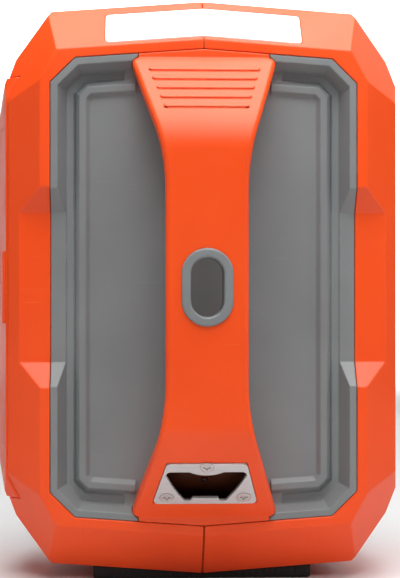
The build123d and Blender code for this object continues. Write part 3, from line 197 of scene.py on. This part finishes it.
def make_handling():
    """Smudges from hands, hairline scuffs and specks of dust."""
    group, given, result = new_group(
        "handling marks", [("Smudge scale", 22.0)], ["Smudge", "Scuff", "Dust"]
    )
    place = add_node(group, "ShaderNodeTexCoord")
    smear = add_node(group, "ShaderNodeTexNoise", Detail=4.0, Roughness=0.55, Distortion=0.8)
    join(group, place.outputs["Object"], smear.inputs["Vector"])
    join(group, given.outputs["Smudge scale"], smear.inputs["Scale"])
    join(group, remap(group, smear.outputs["Fac"], 0.40, 0.72), result.inputs["Smudge"])
    stretch = add_node(group, "ShaderNodeMapping")
    stretch.inputs["Rotation"].default_value = (0.3, 0.5, 0.7)
    stretch.inputs["Scale"].default_value = (30.0, 900.0, 900.0)
    join(group, place.outputs["Object"], stretch.inputs["Vector"])
    hairs = add_node(group, "ShaderNodeTexNoise", Scale=1.0, Detail=2.0)
    join(group, stretch.outputs["Vector"], hairs.inputs["Vector"])
    join(group, remap(group, hairs.outputs["Fac"], 0.70, 0.78), result.inputs["Scuff"])
    specks = add_node(group, "ShaderNodeTexVoronoi", Scale=420.0, Randomness=1.0)
    join(group, place.outputs["Object"], specks.inputs["Vector"])
    near = remap(group, specks.outputs["Distance"], 0.10, 0.04)
    sparse = math_node(group, "GREATER_THAN", smear.outputs["Fac"], 0.52)
    join(group, math_node(group, "MULTIPLY", near, sparse), result.inputs["Dust"])
    return group


def make_brushing():
    """Fine parallel lines of a brushed or rolled metal, along X."""
    group, given, result = new_group("brushed lines", [("Fineness", 1.0)], ["Height", "Streak"])
    place = add_node(group, "ShaderNodeTexCoord")
    stretch = add_node(group, "ShaderNodeMapping")
    stretch.inputs["Scale"].default_value = (40.0, 3200.0, 3200.0)
    join(group, place.outputs["Object"], stretch.inputs["Vector"])
    lines = add_node(group, "ShaderNodeTexNoise", Detail=3.0, Roughness=0.7)
    join(group, stretch.outputs["Vector"], lines.inputs["Vector"])
    join(group, given.outputs["Fineness"], lines.inputs["Scale"])
    join(group, lines.outputs["Fac"], result.inputs["Height"])
    join(group, remap(group, lines.outputs["Fac"], 0.3, 0.7), result.inputs["Streak"])
    return group


GRAIN, WEAR, HANDLING, BRUSHING = make_grain(), make_wear(), make_handling(), make_brushing()


# ---------------------------------------------------------------- materials
DUST = (0.62, 0.58, 0.52)
# Painted shade: dark brown for the pocket behind the opener
POCKET_SHADE = (0.05, 0.012, 0.004)
RUBBED_METAL = (0.92, 0.92, 0.9)


def new_material(name):
    """A material with its tree and its Principled shader."""
    material = bpy.data.materials.new(name)
    material.use_nodes = True
    return material, material.node_tree, material.node_tree.nodes["Principled BSDF"]


def bump(tree, shader, height, depth, strength, rounded=None):
    """Feed a height, on top of the edges' rounded normal, into the shader."""
    node = add_node(tree, "ShaderNodeBump", Distance=depth, Strength=strength)
    join(tree, height, node.inputs["Height"])
    if rounded:
        join(tree, rounded, node.inputs["Normal"])
    join(tree, node.outputs["Normal"], shader.inputs["Normal"])
    return node


def moulded(name, colour, pale, deep, roughness, grain_scale, grain_depth,
            coat=0.0, coat_roughness=0.3, wear=0.5, dust=0.15, specular=0.5, painted_shade=None):
    """Moulded plastic or rubber: grain, slow colour drift, rubbed edges, smudges and dust, with painted shade
    where a mask for it is given.
    """
    material, tree, shader = new_material(name)
    grain = use_group(tree, GRAIN, Scale=grain_scale)
    worn = use_group(tree, WEAR, Radius=1.1 * MM, Breakup=95.0, Amount=wear)
    marks = use_group(tree, HANDLING, Smudge_scale=21.0)
    body = blend_colours(tree, grain.outputs["Drift"], colour, deep)
    rubbed = blend_colours(tree, worn.outputs["Mask"], body, pale)
    scuffed = blend_colours(
        tree, math_node(tree, "MULTIPLY", marks.outputs["Scuff"], 0.18), rubbed, pale
    )
    dust_and_shade = blend_colours(
        tree, math_node(tree, "MULTIPLY", marks.outputs["Dust"], dust), scuffed, DUST
    )
    # Painted shade: where a mask is given, it darkens the colour towards the pocket's dark brown
    if painted_shade:
        dust_and_shade = blend_colours(tree, painted_shade(tree), dust_and_shade, POCKET_SHADE)
    join(tree, dust_and_shade, shader.inputs["Base Color"])
    gloss = remap(tree, marks.outputs["Smudge"], 0.0, 1.0, roughness, roughness + 0.09)
    rough = math_node(tree, "ADD", gloss, math_node(tree, "MULTIPLY", marks.outputs["Scuff"], 0.12), True)
    join(tree, rough, shader.inputs["Roughness"])
    bump(tree, shader, grain.outputs["Height"], grain_depth, 0.55, worn.outputs["Normal"])
    shader.inputs["Coat Weight"].default_value = coat
    shader.inputs["Coat Roughness"].default_value = coat_roughness
    shader.inputs["Specular IOR Level"].default_value = specular
    return material


def metal(name, bright, dull, roughness, fineness=1.0, depth=0.03, wear=0.3, metallic=1.0):
    """Bare or plated metal with fine drawn lines and brighter rubbed edges."""
    material, tree, shader = new_material(name)
    lines = use_group(tree, BRUSHING, Fineness=fineness)
    worn = use_group(tree, WEAR, Radius=0.5 * MM, Breakup=200.0, Amount=wear)
    marks = use_group(tree, HANDLING, Smudge_scale=60.0)
    tone = blend_colours(tree, lines.outputs["Streak"], dull, bright)
    edged = blend_colours(tree, worn.outputs["Mask"], tone, RUBBED_METAL)
    join(tree, edged, shader.inputs["Base Color"])
    rough = remap(tree, marks.outputs["Smudge"], 0.0, 1.0, roughness, roughness + 0.12)
    join(tree, rough, shader.inputs["Roughness"])
    shader.inputs["Metallic"].default_value = metallic
    bump(tree, shader, lines.outputs["Height"], depth * MM, 0.5, worn.outputs["Normal"])
    return material


def opener_pocket_shade(tree):
    """Mask of the painted shade in the pocket behind the opener, by distance behind the handle's lower slope.
    """
    slope_drop, half_width = 138.0 * MM, 28.0 * MM
    lowest, highest = MIDDLE_Z - 132.0 * MM, MIDDLE_Z - 97.0 * MM
    foot_y, foot_z = FRONT_Y, MIDDLE_Z - slope_drop
    run, rise = 42.0, 43.5
    length = math.hypot(run, rise)
    place = add_node(tree, "ShaderNodeTexCoord")
    split = add_node(tree, "ShaderNodeSeparateXYZ")
    join(tree, place.outputs["Object"], split.inputs["Vector"])
    back = math_node(tree, "MULTIPLY", math_node(tree, "SUBTRACT", split.outputs["Y"], foot_y), rise / length)
    up = math_node(tree, "MULTIPLY", math_node(tree, "SUBTRACT", split.outputs["Z"], foot_z), run / length)
    behind = remap(tree, math_node(tree, "ADD", back, up), 1.6 * MM, 5.0 * MM)
    across = math_node(tree, "ABSOLUTE", split.outputs["X"])
    inside = math_node(tree, "LESS_THAN", across, half_width)
    low = math_node(tree, "GREATER_THAN", split.outputs["Z"], lowest)
    high = math_node(tree, "LESS_THAN", split.outputs["Z"], highest)
    window = math_node(tree, "MULTIPLY", inside, math_node(tree, "MULTIPLY", low, high))
    return math_node(tree, "MULTIPLY", behind, window)


def lamp_plastic():
    """Frosted lens: white, slightly lit from within by the row of light sources behind it."""
    material, tree, shader = new_material("frosted lens")
    grain = use_group(tree, GRAIN, Scale=2600.0)
    place = add_node(tree, "ShaderNodeTexCoord")
    split = add_node(tree, "ShaderNodeSeparateXYZ")
    join(tree, place.outputs["Object"], split.inputs["Vector"])
    pitch = 11.2 * MM
    wave = math_node(tree, "COSINE", math_node(
        tree, "MULTIPLY", math_node(tree, "ADD", split.outputs["X"], pitch / 2), 2 * math.pi / pitch))
    glow = remap(tree, wave, -1.0, 1.0)
    tint = blend_colours(tree, glow, (0.86, 0.87, 0.87), (0.97, 0.97, 0.96))
    join(tree, tint, shader.inputs["Base Color"])
    join(tree, blend_colours(tree, glow, (0.80, 0.82, 0.82), (1.0, 1.0, 0.98)),
         shader.inputs["Emission Color"])
    shader.inputs["Emission Strength"].default_value = 0.35
    join(tree, remap(tree, grain.outputs["Drift"], 0.0, 1.0, 0.30, 0.38), shader.inputs["Roughness"])
    shader.inputs["Coat Weight"].default_value = 0.4
    shader.inputs["Coat Roughness"].default_value = 0.12
    bump(tree, shader, grain.outputs["Height"], 0.03 * MM, 0.4)
    return material


def clear_window():
    """Clear window with a smoky tint and faint smudges."""
    material, tree, shader = new_material("clear window")
    marks = use_group(tree, HANDLING, Smudge_scale=40.0)
    tint = blend_colours(tree, marks.outputs["Scuff"], (0.80, 0.84, 0.85), (0.92, 0.93, 0.93))
    join(tree, tint, shader.inputs["Base Color"])
    join(tree, remap(tree, marks.outputs["Smudge"], 0.0, 1.0, 0.04, 0.12), shader.inputs["Roughness"])
    shader.inputs["Metallic"].default_value = 0.0
    shader.inputs["Transmission Weight"].default_value = 1.0
    shader.inputs["IOR"].default_value = 1.45
    return material


def circuit_board():
    """Green solder mask with lighter copper tracks under it."""
    material, tree, shader = new_material("solder mask")
    place = add_node(tree, "ShaderNodeTexCoord")
    tracks = add_node(tree, "ShaderNodeTexBrick", Scale=160.0, Mortar_Size=0.06)
    tracks.offset = 0.37
    join(tree, place.outputs["Object"], tracks.inputs["Vector"])
    marks = use_group(tree, HANDLING, Smudge_scale=50.0)
    green = blend_colours(tree, tracks.outputs["Fac"], (0.012, 0.09, 0.03), (0.03, 0.17, 0.06))
    join(tree, green, shader.inputs["Base Color"])
    join(tree, remap(tree, marks.outputs["Smudge"], 0.0, 1.0, 0.25, 0.42), shader.inputs["Roughness"])
    bump(tree, shader, tracks.outputs["Fac"], 0.03 * MM, 0.5)
    return material


def light_source():
    """Yellow phosphor over a white body."""
    material, tree, shader = new_material("phosphor")
    grain = use_group(tree, GRAIN, Scale=900.0)
    tone = blend_colours(tree, grain.outputs["Drift"], (0.88, 0.80, 0.36), (0.95, 0.90, 0.62))
    join(tree, tone, shader.inputs["Base Color"])
    shader.inputs["Roughness"].default_value = 0.4
    bump(tree, shader, grain.outputs["Height"], 0.03 * MM, 0.4)
    return material


ORANGE = (0.90, 0.082, 0.008)
ORANGE_PALE = (0.95, 0.26, 0.10)
ORANGE_DEEP = (0.86, 0.072, 0.006)

MATERIALS = {
    "orange_plastic": moulded("orange shell", ORANGE, ORANGE_PALE, ORANGE_DEEP, 0.36, 2100.0, 0.035 * MM,
                              coat=0.05, coat_roughness=0.30, wear=0.45, specular=0.32),
    "grey_plastic": moulded("grey shell", (0.205, 0.217, 0.220), (0.37, 0.39, 0.39),
                            (0.182, 0.193, 0.196), 0.46, 1500.0, 0.06 * MM, coat=0.08, wear=0.55),
    "black_plastic": moulded("black moulding", (0.022, 0.022, 0.024), (0.09, 0.09, 0.09),
                             (0.016, 0.016, 0.018), 0.44, 1600.0, 0.05 * MM, wear=0.5, dust=0.3),
    "black_rubber": moulded("black rubber", (0.018, 0.018, 0.017), (0.07, 0.068, 0.065),
                            (0.013, 0.013, 0.013), 0.68, 1100.0, 0.08 * MM, wear=0.6, dust=0.5, specular=0.3),
    "component_black": moulded("component bodies", (0.03, 0.03, 0.032), (0.12, 0.12, 0.12),
                               (0.02, 0.02, 0.021), 0.5, 1300.0, 0.04 * MM),
    "white_plastic": moulded("white reflector", (0.82, 0.82, 0.80), (0.9, 0.9, 0.9),
                             (0.76, 0.76, 0.74), 0.25, 2000.0, 0.02 * MM),
    "cable_red": moulded("red insulation", (0.45, 0.02, 0.014), (0.6, 0.10, 0.08),
                         (0.36, 0.014, 0.01), 0.42, 900.0, 0.05 * MM),
    "cable_black": moulded("black insulation", (0.02, 0.02, 0.02), (0.08, 0.08, 0.08),
                           (0.014, 0.014, 0.014), 0.45, 900.0, 0.05 * MM),
    "steel_plate": metal("brushed steel", (0.66, 0.665, 0.665), (0.54, 0.545, 0.545), 0.42, 1.0, 0.04,
                         metallic=0.55),
    "steel_screw": metal("zinc plated screws", (0.70, 0.70, 0.69), (0.56, 0.56, 0.55), 0.30, 2.0, 0.02),
    "aluminium_fins": metal("extruded aluminium", (0.74, 0.75, 0.76), (0.62, 0.63, 0.64), 0.32, 0.7, 0.04),
    "cell_plates": metal("lead plates", (0.24, 0.24, 0.26), (0.16, 0.16, 0.17), 0.55, 0.3, 0.08),
    "brass_contact": metal("plated brass", (0.83, 0.65, 0.32), (0.72, 0.52, 0.22), 0.26, 1.5, 0.02),
    "copper_lug": metal("tinned copper", (0.78, 0.52, 0.34), (0.66, 0.42, 0.26), 0.32, 1.2, 0.03),
    "lens_plastic": lamp_plastic(),
    "clear_plastic": clear_window(),
    "board_green": circuit_board(),
    "led_white": light_source(),
}


# Finishes that only one node has; the handle's shell carries the painted shade of the opener pocket
OWN_FINISH = {
    "carry_handle": moulded("handle shell", ORANGE, ORANGE_PALE, ORANGE_DEEP, 0.36, 2100.0, 0.035 * MM,
                            coat=0.05, coat_roughness=0.30, wear=0.45, specular=0.32, painted_shade=opener_pocket_shade),
}


def paint(piece, material):
    """Give a piece one material."""
    piece.data.materials.clear()
    piece.data.materials.append(material)


def repaint_frame():
    """Every carried-over node takes its slot's finish."""
    for name, piece in NODES.items():
        for place in piece.material_slots:
            place.material = MATERIALS[SLOT_OF[name]]
        if not piece.material_slots:
            piece.data.materials.append(MATERIALS[SLOT_OF[name]])


# ---------------------------------------------------------------- softened shells
WELD = 0.02 * MM
FLAT = math.radians(0.25)

# Radius of the moulded edges of each visible node, in millimetres
EDGE_RADII = {
    "left_housing": 0.6, "right_housing": 0.6, "front_panel": 0.35,
    "carry_handle": 0.4, "handle_grommet": 0.25, "opener_plate": 0.2, "opener_screws": 0.12,
    "front_foot": 0.6, "rear_foot": 0.6, "lamp_lens": 0.3,
    "side_door": 0.35, "control_fascia": 0.25, "boost_knob": 0.35, "power_button": 0.3,
    "lamp_button": 0.3, "display_window": 0.15, "rear_panel_screws": 0.15, "port_bay": 0.4,
    "aux_socket": 0.3, "aux_cap": 0.4, "usb_socket": 0.25, "charge_inlet": 0.25, "jump_socket": 0.5,
    "foot_screws": 0.12, "door_hinge_pins": 0.2, "handle_back_cover": 0.3, "cover_screws": 0.12,
}
# Nodes whose faces have holes in them, which are cut into convex ones first
CUT_CONVEX = ("front_panel", "side_door", "port_bay", "control_fascia")


def merged_copy(node):
    """The node's mesh with its triangles merged into whole faces."""
    mesh = NODES[node].data.copy()
    work = bmesh.new()
    work.from_mesh(mesh)
    bmesh.ops.remove_doubles(work, verts=work.verts, dist=WELD)
    bmesh.ops.dissolve_limit(work, angle_limit=FLAT, verts=work.verts, edges=work.edges)
    if node in CUT_CONVEX:
        bmesh.ops.connect_verts_concave(work, faces=work.faces)
    work.to_mesh(mesh)
    work.free()
    return mesh


def apply_modifiers(piece):
    """Turn the evaluated piece into a plain mesh and drop its modifiers."""
    graph = bpy.context.evaluated_depsgraph_get()
    mesh = bpy.data.meshes.new_from_object(piece.evaluated_get(graph), depsgraph=graph)
    piece.modifiers.clear()
    piece.data = mesh
    return piece


def new_piece(name, mesh, body, slot):
    """A finished piece on a body, with its slot's finish."""
    piece = bpy.data.objects.new(name, mesh)
    bpy.context.scene.collection.objects.link(piece)
    paint(piece, MATERIALS[slot])
    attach(piece, body)
    return piece


def soften(node, radius):
    """Replace a node by a copy whose sharp edges are rounded."""
    piece = new_piece(node + "_skin", merged_copy(node), BODY_OF[node], SLOT_OF[node])
    if node in OWN_FINISH:
        paint(piece, OWN_FINISH[node])
    for polygon in piece.data.polygons:
        polygon.use_smooth = True
    edge = piece.modifiers.new("edges", "BEVEL")
    edge.width = radius * MM
    edge.segments = 2
    edge.limit_method = "ANGLE"
    edge.angle_limit = math.radians(24)
    edge.use_clamp_overlap = False
    edge.harden_normals = False
    even = piece.modifiers.new("normals", "WEIGHTED_NORMAL")
    even.keep_sharp = True
    apply_modifiers(piece)
    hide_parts(node)
    return piece


# ---------------------------------------------------------------- repeated details
def new_shape_tree(name, inputs):
    """An empty Geometry Nodes tree with named inputs and a geometry output."""
    tree = bpy.data.node_groups.new(name, "GeometryNodeTree")
    for label, kind in inputs:
        tree.interface.new_socket(label, in_out="INPUT", socket_type="NodeSocket" + kind)
    tree.interface.new_socket("Material", in_out="INPUT", socket_type="NodeSocketMaterial")
    tree.interface.new_socket("Geometry", in_out="OUTPUT", socket_type="NodeSocketGeometry")
    return tree, tree.nodes.new("NodeGroupInput"), tree.nodes.new("NodeGroupOutput")


def finish_shape(tree, given, result, geometry):
    """Realize the instances, set the material and send the geometry out."""
    real = tree.nodes.new("GeometryNodeRealizeInstances")
    finish = tree.nodes.new("GeometryNodeSetMaterial")
    join(tree, geometry, real.inputs["Geometry"])
    join(tree, real.outputs["Geometry"], finish.inputs["Geometry"])
    join(tree, given.outputs["Material"], finish.inputs["Material"])
    join(tree, finish.outputs["Geometry"], result.inputs["Geometry"])


def make_row_tree():
    """Bars in a straight row."""
    tree, given, result = new_shape_tree(
        "row of bars", [("Count", "Int"), ("Start", "Vector"), ("Step", "Vector"), ("Size", "Vector")]
    )
    row = tree.nodes.new("GeometryNodeMeshLine")
    bar = tree.nodes.new("GeometryNodeMeshCube")
    place = tree.nodes.new("GeometryNodeInstanceOnPoints")
    join(tree, given.outputs["Count"], row.inputs["Count"])
    join(tree, given.outputs["Start"], row.inputs["Start Location"])
    join(tree, given.outputs["Step"], row.inputs["Offset"])
    join(tree, given.outputs["Size"], bar.inputs["Size"])
    join(tree, row.outputs["Mesh"], place.inputs["Points"])
    join(tree, bar.outputs["Mesh"], place.inputs["Instance"])
    finish_shape(tree, given, result, place.outputs["Instances"])
    return tree


def make_ring_tree():
    """Bars round a circle that faces along Y, each pointing outwards."""
    tree, given, result = new_shape_tree(
        "ring of bars", [("Count", "Int"), ("Radius", "Float"), ("Centre", "Vector"), ("Size", "Vector")]
    )
    ring = tree.nodes.new("GeometryNodeMeshCircle")
    bar = tree.nodes.new("GeometryNodeMeshCube")
    place = tree.nodes.new("GeometryNodeInstanceOnPoints")
    spot = tree.nodes.new("GeometryNodeInputPosition")
    aim = tree.nodes.new("FunctionNodeAlignRotationToVector")
    aim.axis = "X"
    turn = tree.nodes.new("GeometryNodeTransform")
    turn.inputs["Rotation"].default_value = (math.pi / 2, 0.0, 0.0)
    join(tree, given.outputs["Count"], ring.inputs["Vertices"])
    join(tree, given.outputs["Radius"], ring.inputs["Radius"])
    join(tree, given.outputs["Size"], bar.inputs["Size"])
    join(tree, spot.outputs["Position"], aim.inputs["Vector"])
    join(tree, ring.outputs["Mesh"], place.inputs["Points"])
    join(tree, bar.outputs["Mesh"], place.inputs["Instance"])
    join(tree, aim.outputs["Rotation"], place.inputs["Rotation"])
    join(tree, place.outputs["Instances"], turn.inputs["Geometry"])
    join(tree, given.outputs["Centre"], turn.inputs["Translation"])
    finish_shape(tree, given, result, turn.outputs["Geometry"])
    return tree


ROW, RING = make_row_tree(), make_ring_tree()


def grow(name, tree, body, slot, **values):
    """Run a tree with its own sizes and keep the result as a plain mesh on a body."""
    piece = bpy.data.objects.new(name, bpy.data.meshes.new(name))
    bpy.context.scene.collection.objects.link(piece)
    shape = piece.modifiers.new("shape", "NODES")
    shape.node_group = tree
    values["Material"] = MATERIALS[slot]
    for item in tree.interface.items_tree:
        if item.name in values and item.in_out == "INPUT":
            shape[item.identifier] = values[item.name]
    apply_modifiers(piece)
    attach(piece, body)
    return piece


def middle(node):
    """Centre of a node's box."""
    low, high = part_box(node)
    return (low + high) / 2


def knob_details():
    """Grip ribs round the boost knob and ticks round it on the fascia."""
    low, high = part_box("boost_knob")
    radius = (high.x - low.x) / 2
    centre = middle("boost_knob")
    rim, tick_gap = 4.0 * MM, 4.0 * MM
    grow("knob_ribs", RING, "boost_knob", "orange_plastic", Count=44, Radius=radius,
         Centre=(centre.x, low.y + rim / 2, centre.z), Size=(0.7 * MM, 1.1 * MM, rim - 1.0 * MM))
    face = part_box("control_fascia")[1].y
    grow("dial_ticks", RING, "case", "white_plastic", Count=24, Radius=radius + tick_gap,
         Centre=(centre.x, face, centre.z), Size=(2.4 * MM, 0.5 * MM, 0.16 * MM))


def display_bars():
    """Five charge bars on the status display, with a frame line above and below."""
    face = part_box("status_display")[1].y
    count, pitch, line_drop = 5, 8.0 * MM, 7.0 * MM
    centre = middle("status_display")
    start = (centre.x - pitch * (count - 1) / 2, face, centre.z)
    grow("charge_bars", ROW, "case", "led_white", Count=count, Start=start,
         Step=(pitch, 0.0, 0.0), Size=(6.0 * MM, 0.16 * MM, 9.0 * MM))
    grow("charge_frame", ROW, "case", "white_plastic", Count=2,
         Start=(centre.x, face, centre.z - line_drop), Step=(0.0, 0.0, 2 * line_drop),
         Size=(42.0 * MM, 0.16 * MM, 0.5 * MM))


def vent_grille():
    """Upright bars of the dust screen behind the rear slots."""
    screen_z, screen_height, screen_half = 117.5 * MM, 50.0 * MM, 44.0 * MM
    screen_behind = 13.1 * MM
    count = 23
    pitch = 2 * screen_half / (count - 1)
    grow("vent_screen", ROW, "case", "black_plastic", Count=count,
         Start=(-screen_half, REAR_Y - screen_behind, screen_z), Step=(pitch, 0.0, 0.0),
         Size=(0.9 * MM, 0.7 * MM, screen_height))


def foot_treads():
    """Short upright ribs along both long sides of each foot."""
    for node in ("front_foot", "rear_foot"):
        low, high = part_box(node)
        inset, pitch, rib_z = 6.0 * MM, 4.0 * MM, 4.4 * MM
        count = int((high.x - low.x - 2 * inset) / pitch) + 1
        for side, edge in (("near", low.y), ("far", high.y)):
            grow(f"{node}_ribs_{side}", ROW, "case", "black_rubber", Count=count,
                 Start=(low.x + inset, edge, rib_z), Step=(pitch, 0.0, 0.0),
                 Size=(1.6 * MM, 0.9 * MM, 4.6 * MM))


def button_marks():
    """A ring of raised dots on the power button and a row on the lamp button."""
    centre, face = middle("power_button"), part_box("power_button")[1].y
    grow("power_mark", RING, "power_button", "white_plastic", Count=10, Radius=3.4 * MM,
         Centre=(centre.x, face, centre.z), Size=(0.8 * MM, 1.3 * MM, 0.24 * MM))
    centre, face = middle("lamp_button"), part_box("lamp_button")[1].y
    grow("lamp_mark", ROW, "lamp_button", "white_plastic", Count=4,
         Start=(centre.x - 2.7 * MM, face, centre.z), Step=(1.8 * MM, 0.0, 0.0),
         Size=(0.8 * MM, 0.24 * MM, 4.0 * MM))


# ---------------------------------------------------------------- studio
def studio_paper():
    """Pale matt paper for the floor and the backdrop."""
    material, tree, shader = new_material("studio paper")
    place = add_node(tree, "ShaderNodeTexCoord")
    fibre = add_node(tree, "ShaderNodeTexNoise", Scale=4.0, Detail=4.0)
    join(tree, place.outputs["Object"], fibre.inputs["Vector"])
    tone = blend_colours(tree, fibre.outputs["Fac"], (0.74, 0.74, 0.74), (0.77, 0.77, 0.77))
    join(tree, tone, shader.inputs["Base Color"])
    shader.inputs["Roughness"].default_value = 0.9
    shader.inputs["Specular IOR Level"].default_value = 0.2
    return material


def make_stage():
    """A floor that curves up into a backdrop behind the pack."""
    half, front, bend_y, bend_r, top = 3.5, -3.0, 2.2, 0.8, 3.0
    profile = [(front, 0.0), (bend_y, 0.0)]
    steps = 12
    for step in range(1, steps + 1):
        angle = math.pi / 2 * step / steps
        profile.append((bend_y + bend_r * math.sin(angle), bend_r - bend_r * math.cos(angle)))
    profile.append((bend_y + bend_r, top))
    work = bmesh.new()
    rows = [[work.verts.new((x, y, z)) for x in (-half, half)] for y, z in profile]
    for low, high in zip(rows, rows[1:]):
        face = work.faces.new((low[0], low[1], high[1], high[0]))
        face.smooth = True
    mesh = bpy.data.meshes.new("studio_floor")
    work.to_mesh(mesh)
    work.free()
    floor = bpy.data.objects.new("studio_floor", mesh)
    bpy.context.scene.collection.objects.link(floor)
    paint(floor, studio_paper())


def add_light(name, place, aim, size, power, colour=(1.0, 1.0, 1.0)):
    """A rectangular soft box that points at a place."""
    data = bpy.data.lights.new(name, "AREA")
    data.shape = "RECTANGLE"
    data.size, data.size_y = size
    data.energy = power
    data.color = colour
    lamp = bpy.data.objects.new(name, data)
    lamp.location = place
    lamp.rotation_mode = "QUATERNION"
    lamp.rotation_quaternion = (Vector(aim) - Vector(place)).to_track_quat("-Z", "Y")
    bpy.context.scene.collection.objects.link(lamp)


def make_lights():
    """A strong box right above, a key high in front, low fills and a light on the backdrop."""
    centre = (0.0, 0.0, MIDDLE_Z)
    add_light("overhead", (0.02, -0.20, 0.85), (0.0, -0.06, MIDDLE_Z), (0.7, 0.7), 10.0)
    add_light("key", (0.10, -1.35, 1.30), centre, (0.7, 0.7), 6.5)
    add_light("left_strip", (-1.2, -0.45, 0.45), centre, (0.2, 1.0), 1.2)
    add_light("right_strip", (1.2, -0.45, 0.45), centre, (0.2, 1.0), 1.6)
    add_light("rear_fill", (0.6, 1.0, 0.8), centre, (1.0, 1.0), 7.0)
    add_light("backdrop", (0.0, 2.30, 1.1), (0.0, 3.0, 0.25), (1.1, 0.4), 34.0)
    world = bpy.data.worlds.new("studio")
    world.use_nodes = True
    sky = world.node_tree.nodes["Background"]
    sky.inputs["Color"].default_value = (1.0, 1.0, 1.0, 1.0)
    sky.inputs["Strength"].default_value = 0.10
    bpy.context.scene.world = world


def make_camera():
    """Level camera in front of the handle, a little to the left."""
    data = bpy.data.cameras.new("camera")
    data.sensor_width = SENSOR
    data.lens = SENSOR * CAMERA_REACH / (SPAN_W * FRAME_H / FRAME_W)
    data.clip_start, data.clip_end = 0.05, 30.0
    camera = bpy.data.objects.new("camera", data)
    height = MIDDLE_Z - AIM_DROP
    camera.location = (CAMERA_SIDE, FRONT_Y - CAMERA_REACH, height)
    aim = Vector((AIM_X, FRONT_Y, height))
    camera.rotation_mode = "QUATERNION"
    camera.rotation_quaternion = (aim - camera.location).to_track_quat("-Z", "Y")
    bpy.context.scene.collection.objects.link(camera)
    bpy.context.scene.camera = camera


bpy.context.scene.view_settings.view_transform = "Standard"
make_camera()
make_lights()
make_stage()
repaint_frame()
for node_name, edge_radius in EDGE_RADII.items():
    soften(node_name, edge_radius)
knob_details()
display_bars()
vent_grille()
foot_treads()
button_marks()

bpy.context.view_layer.update()
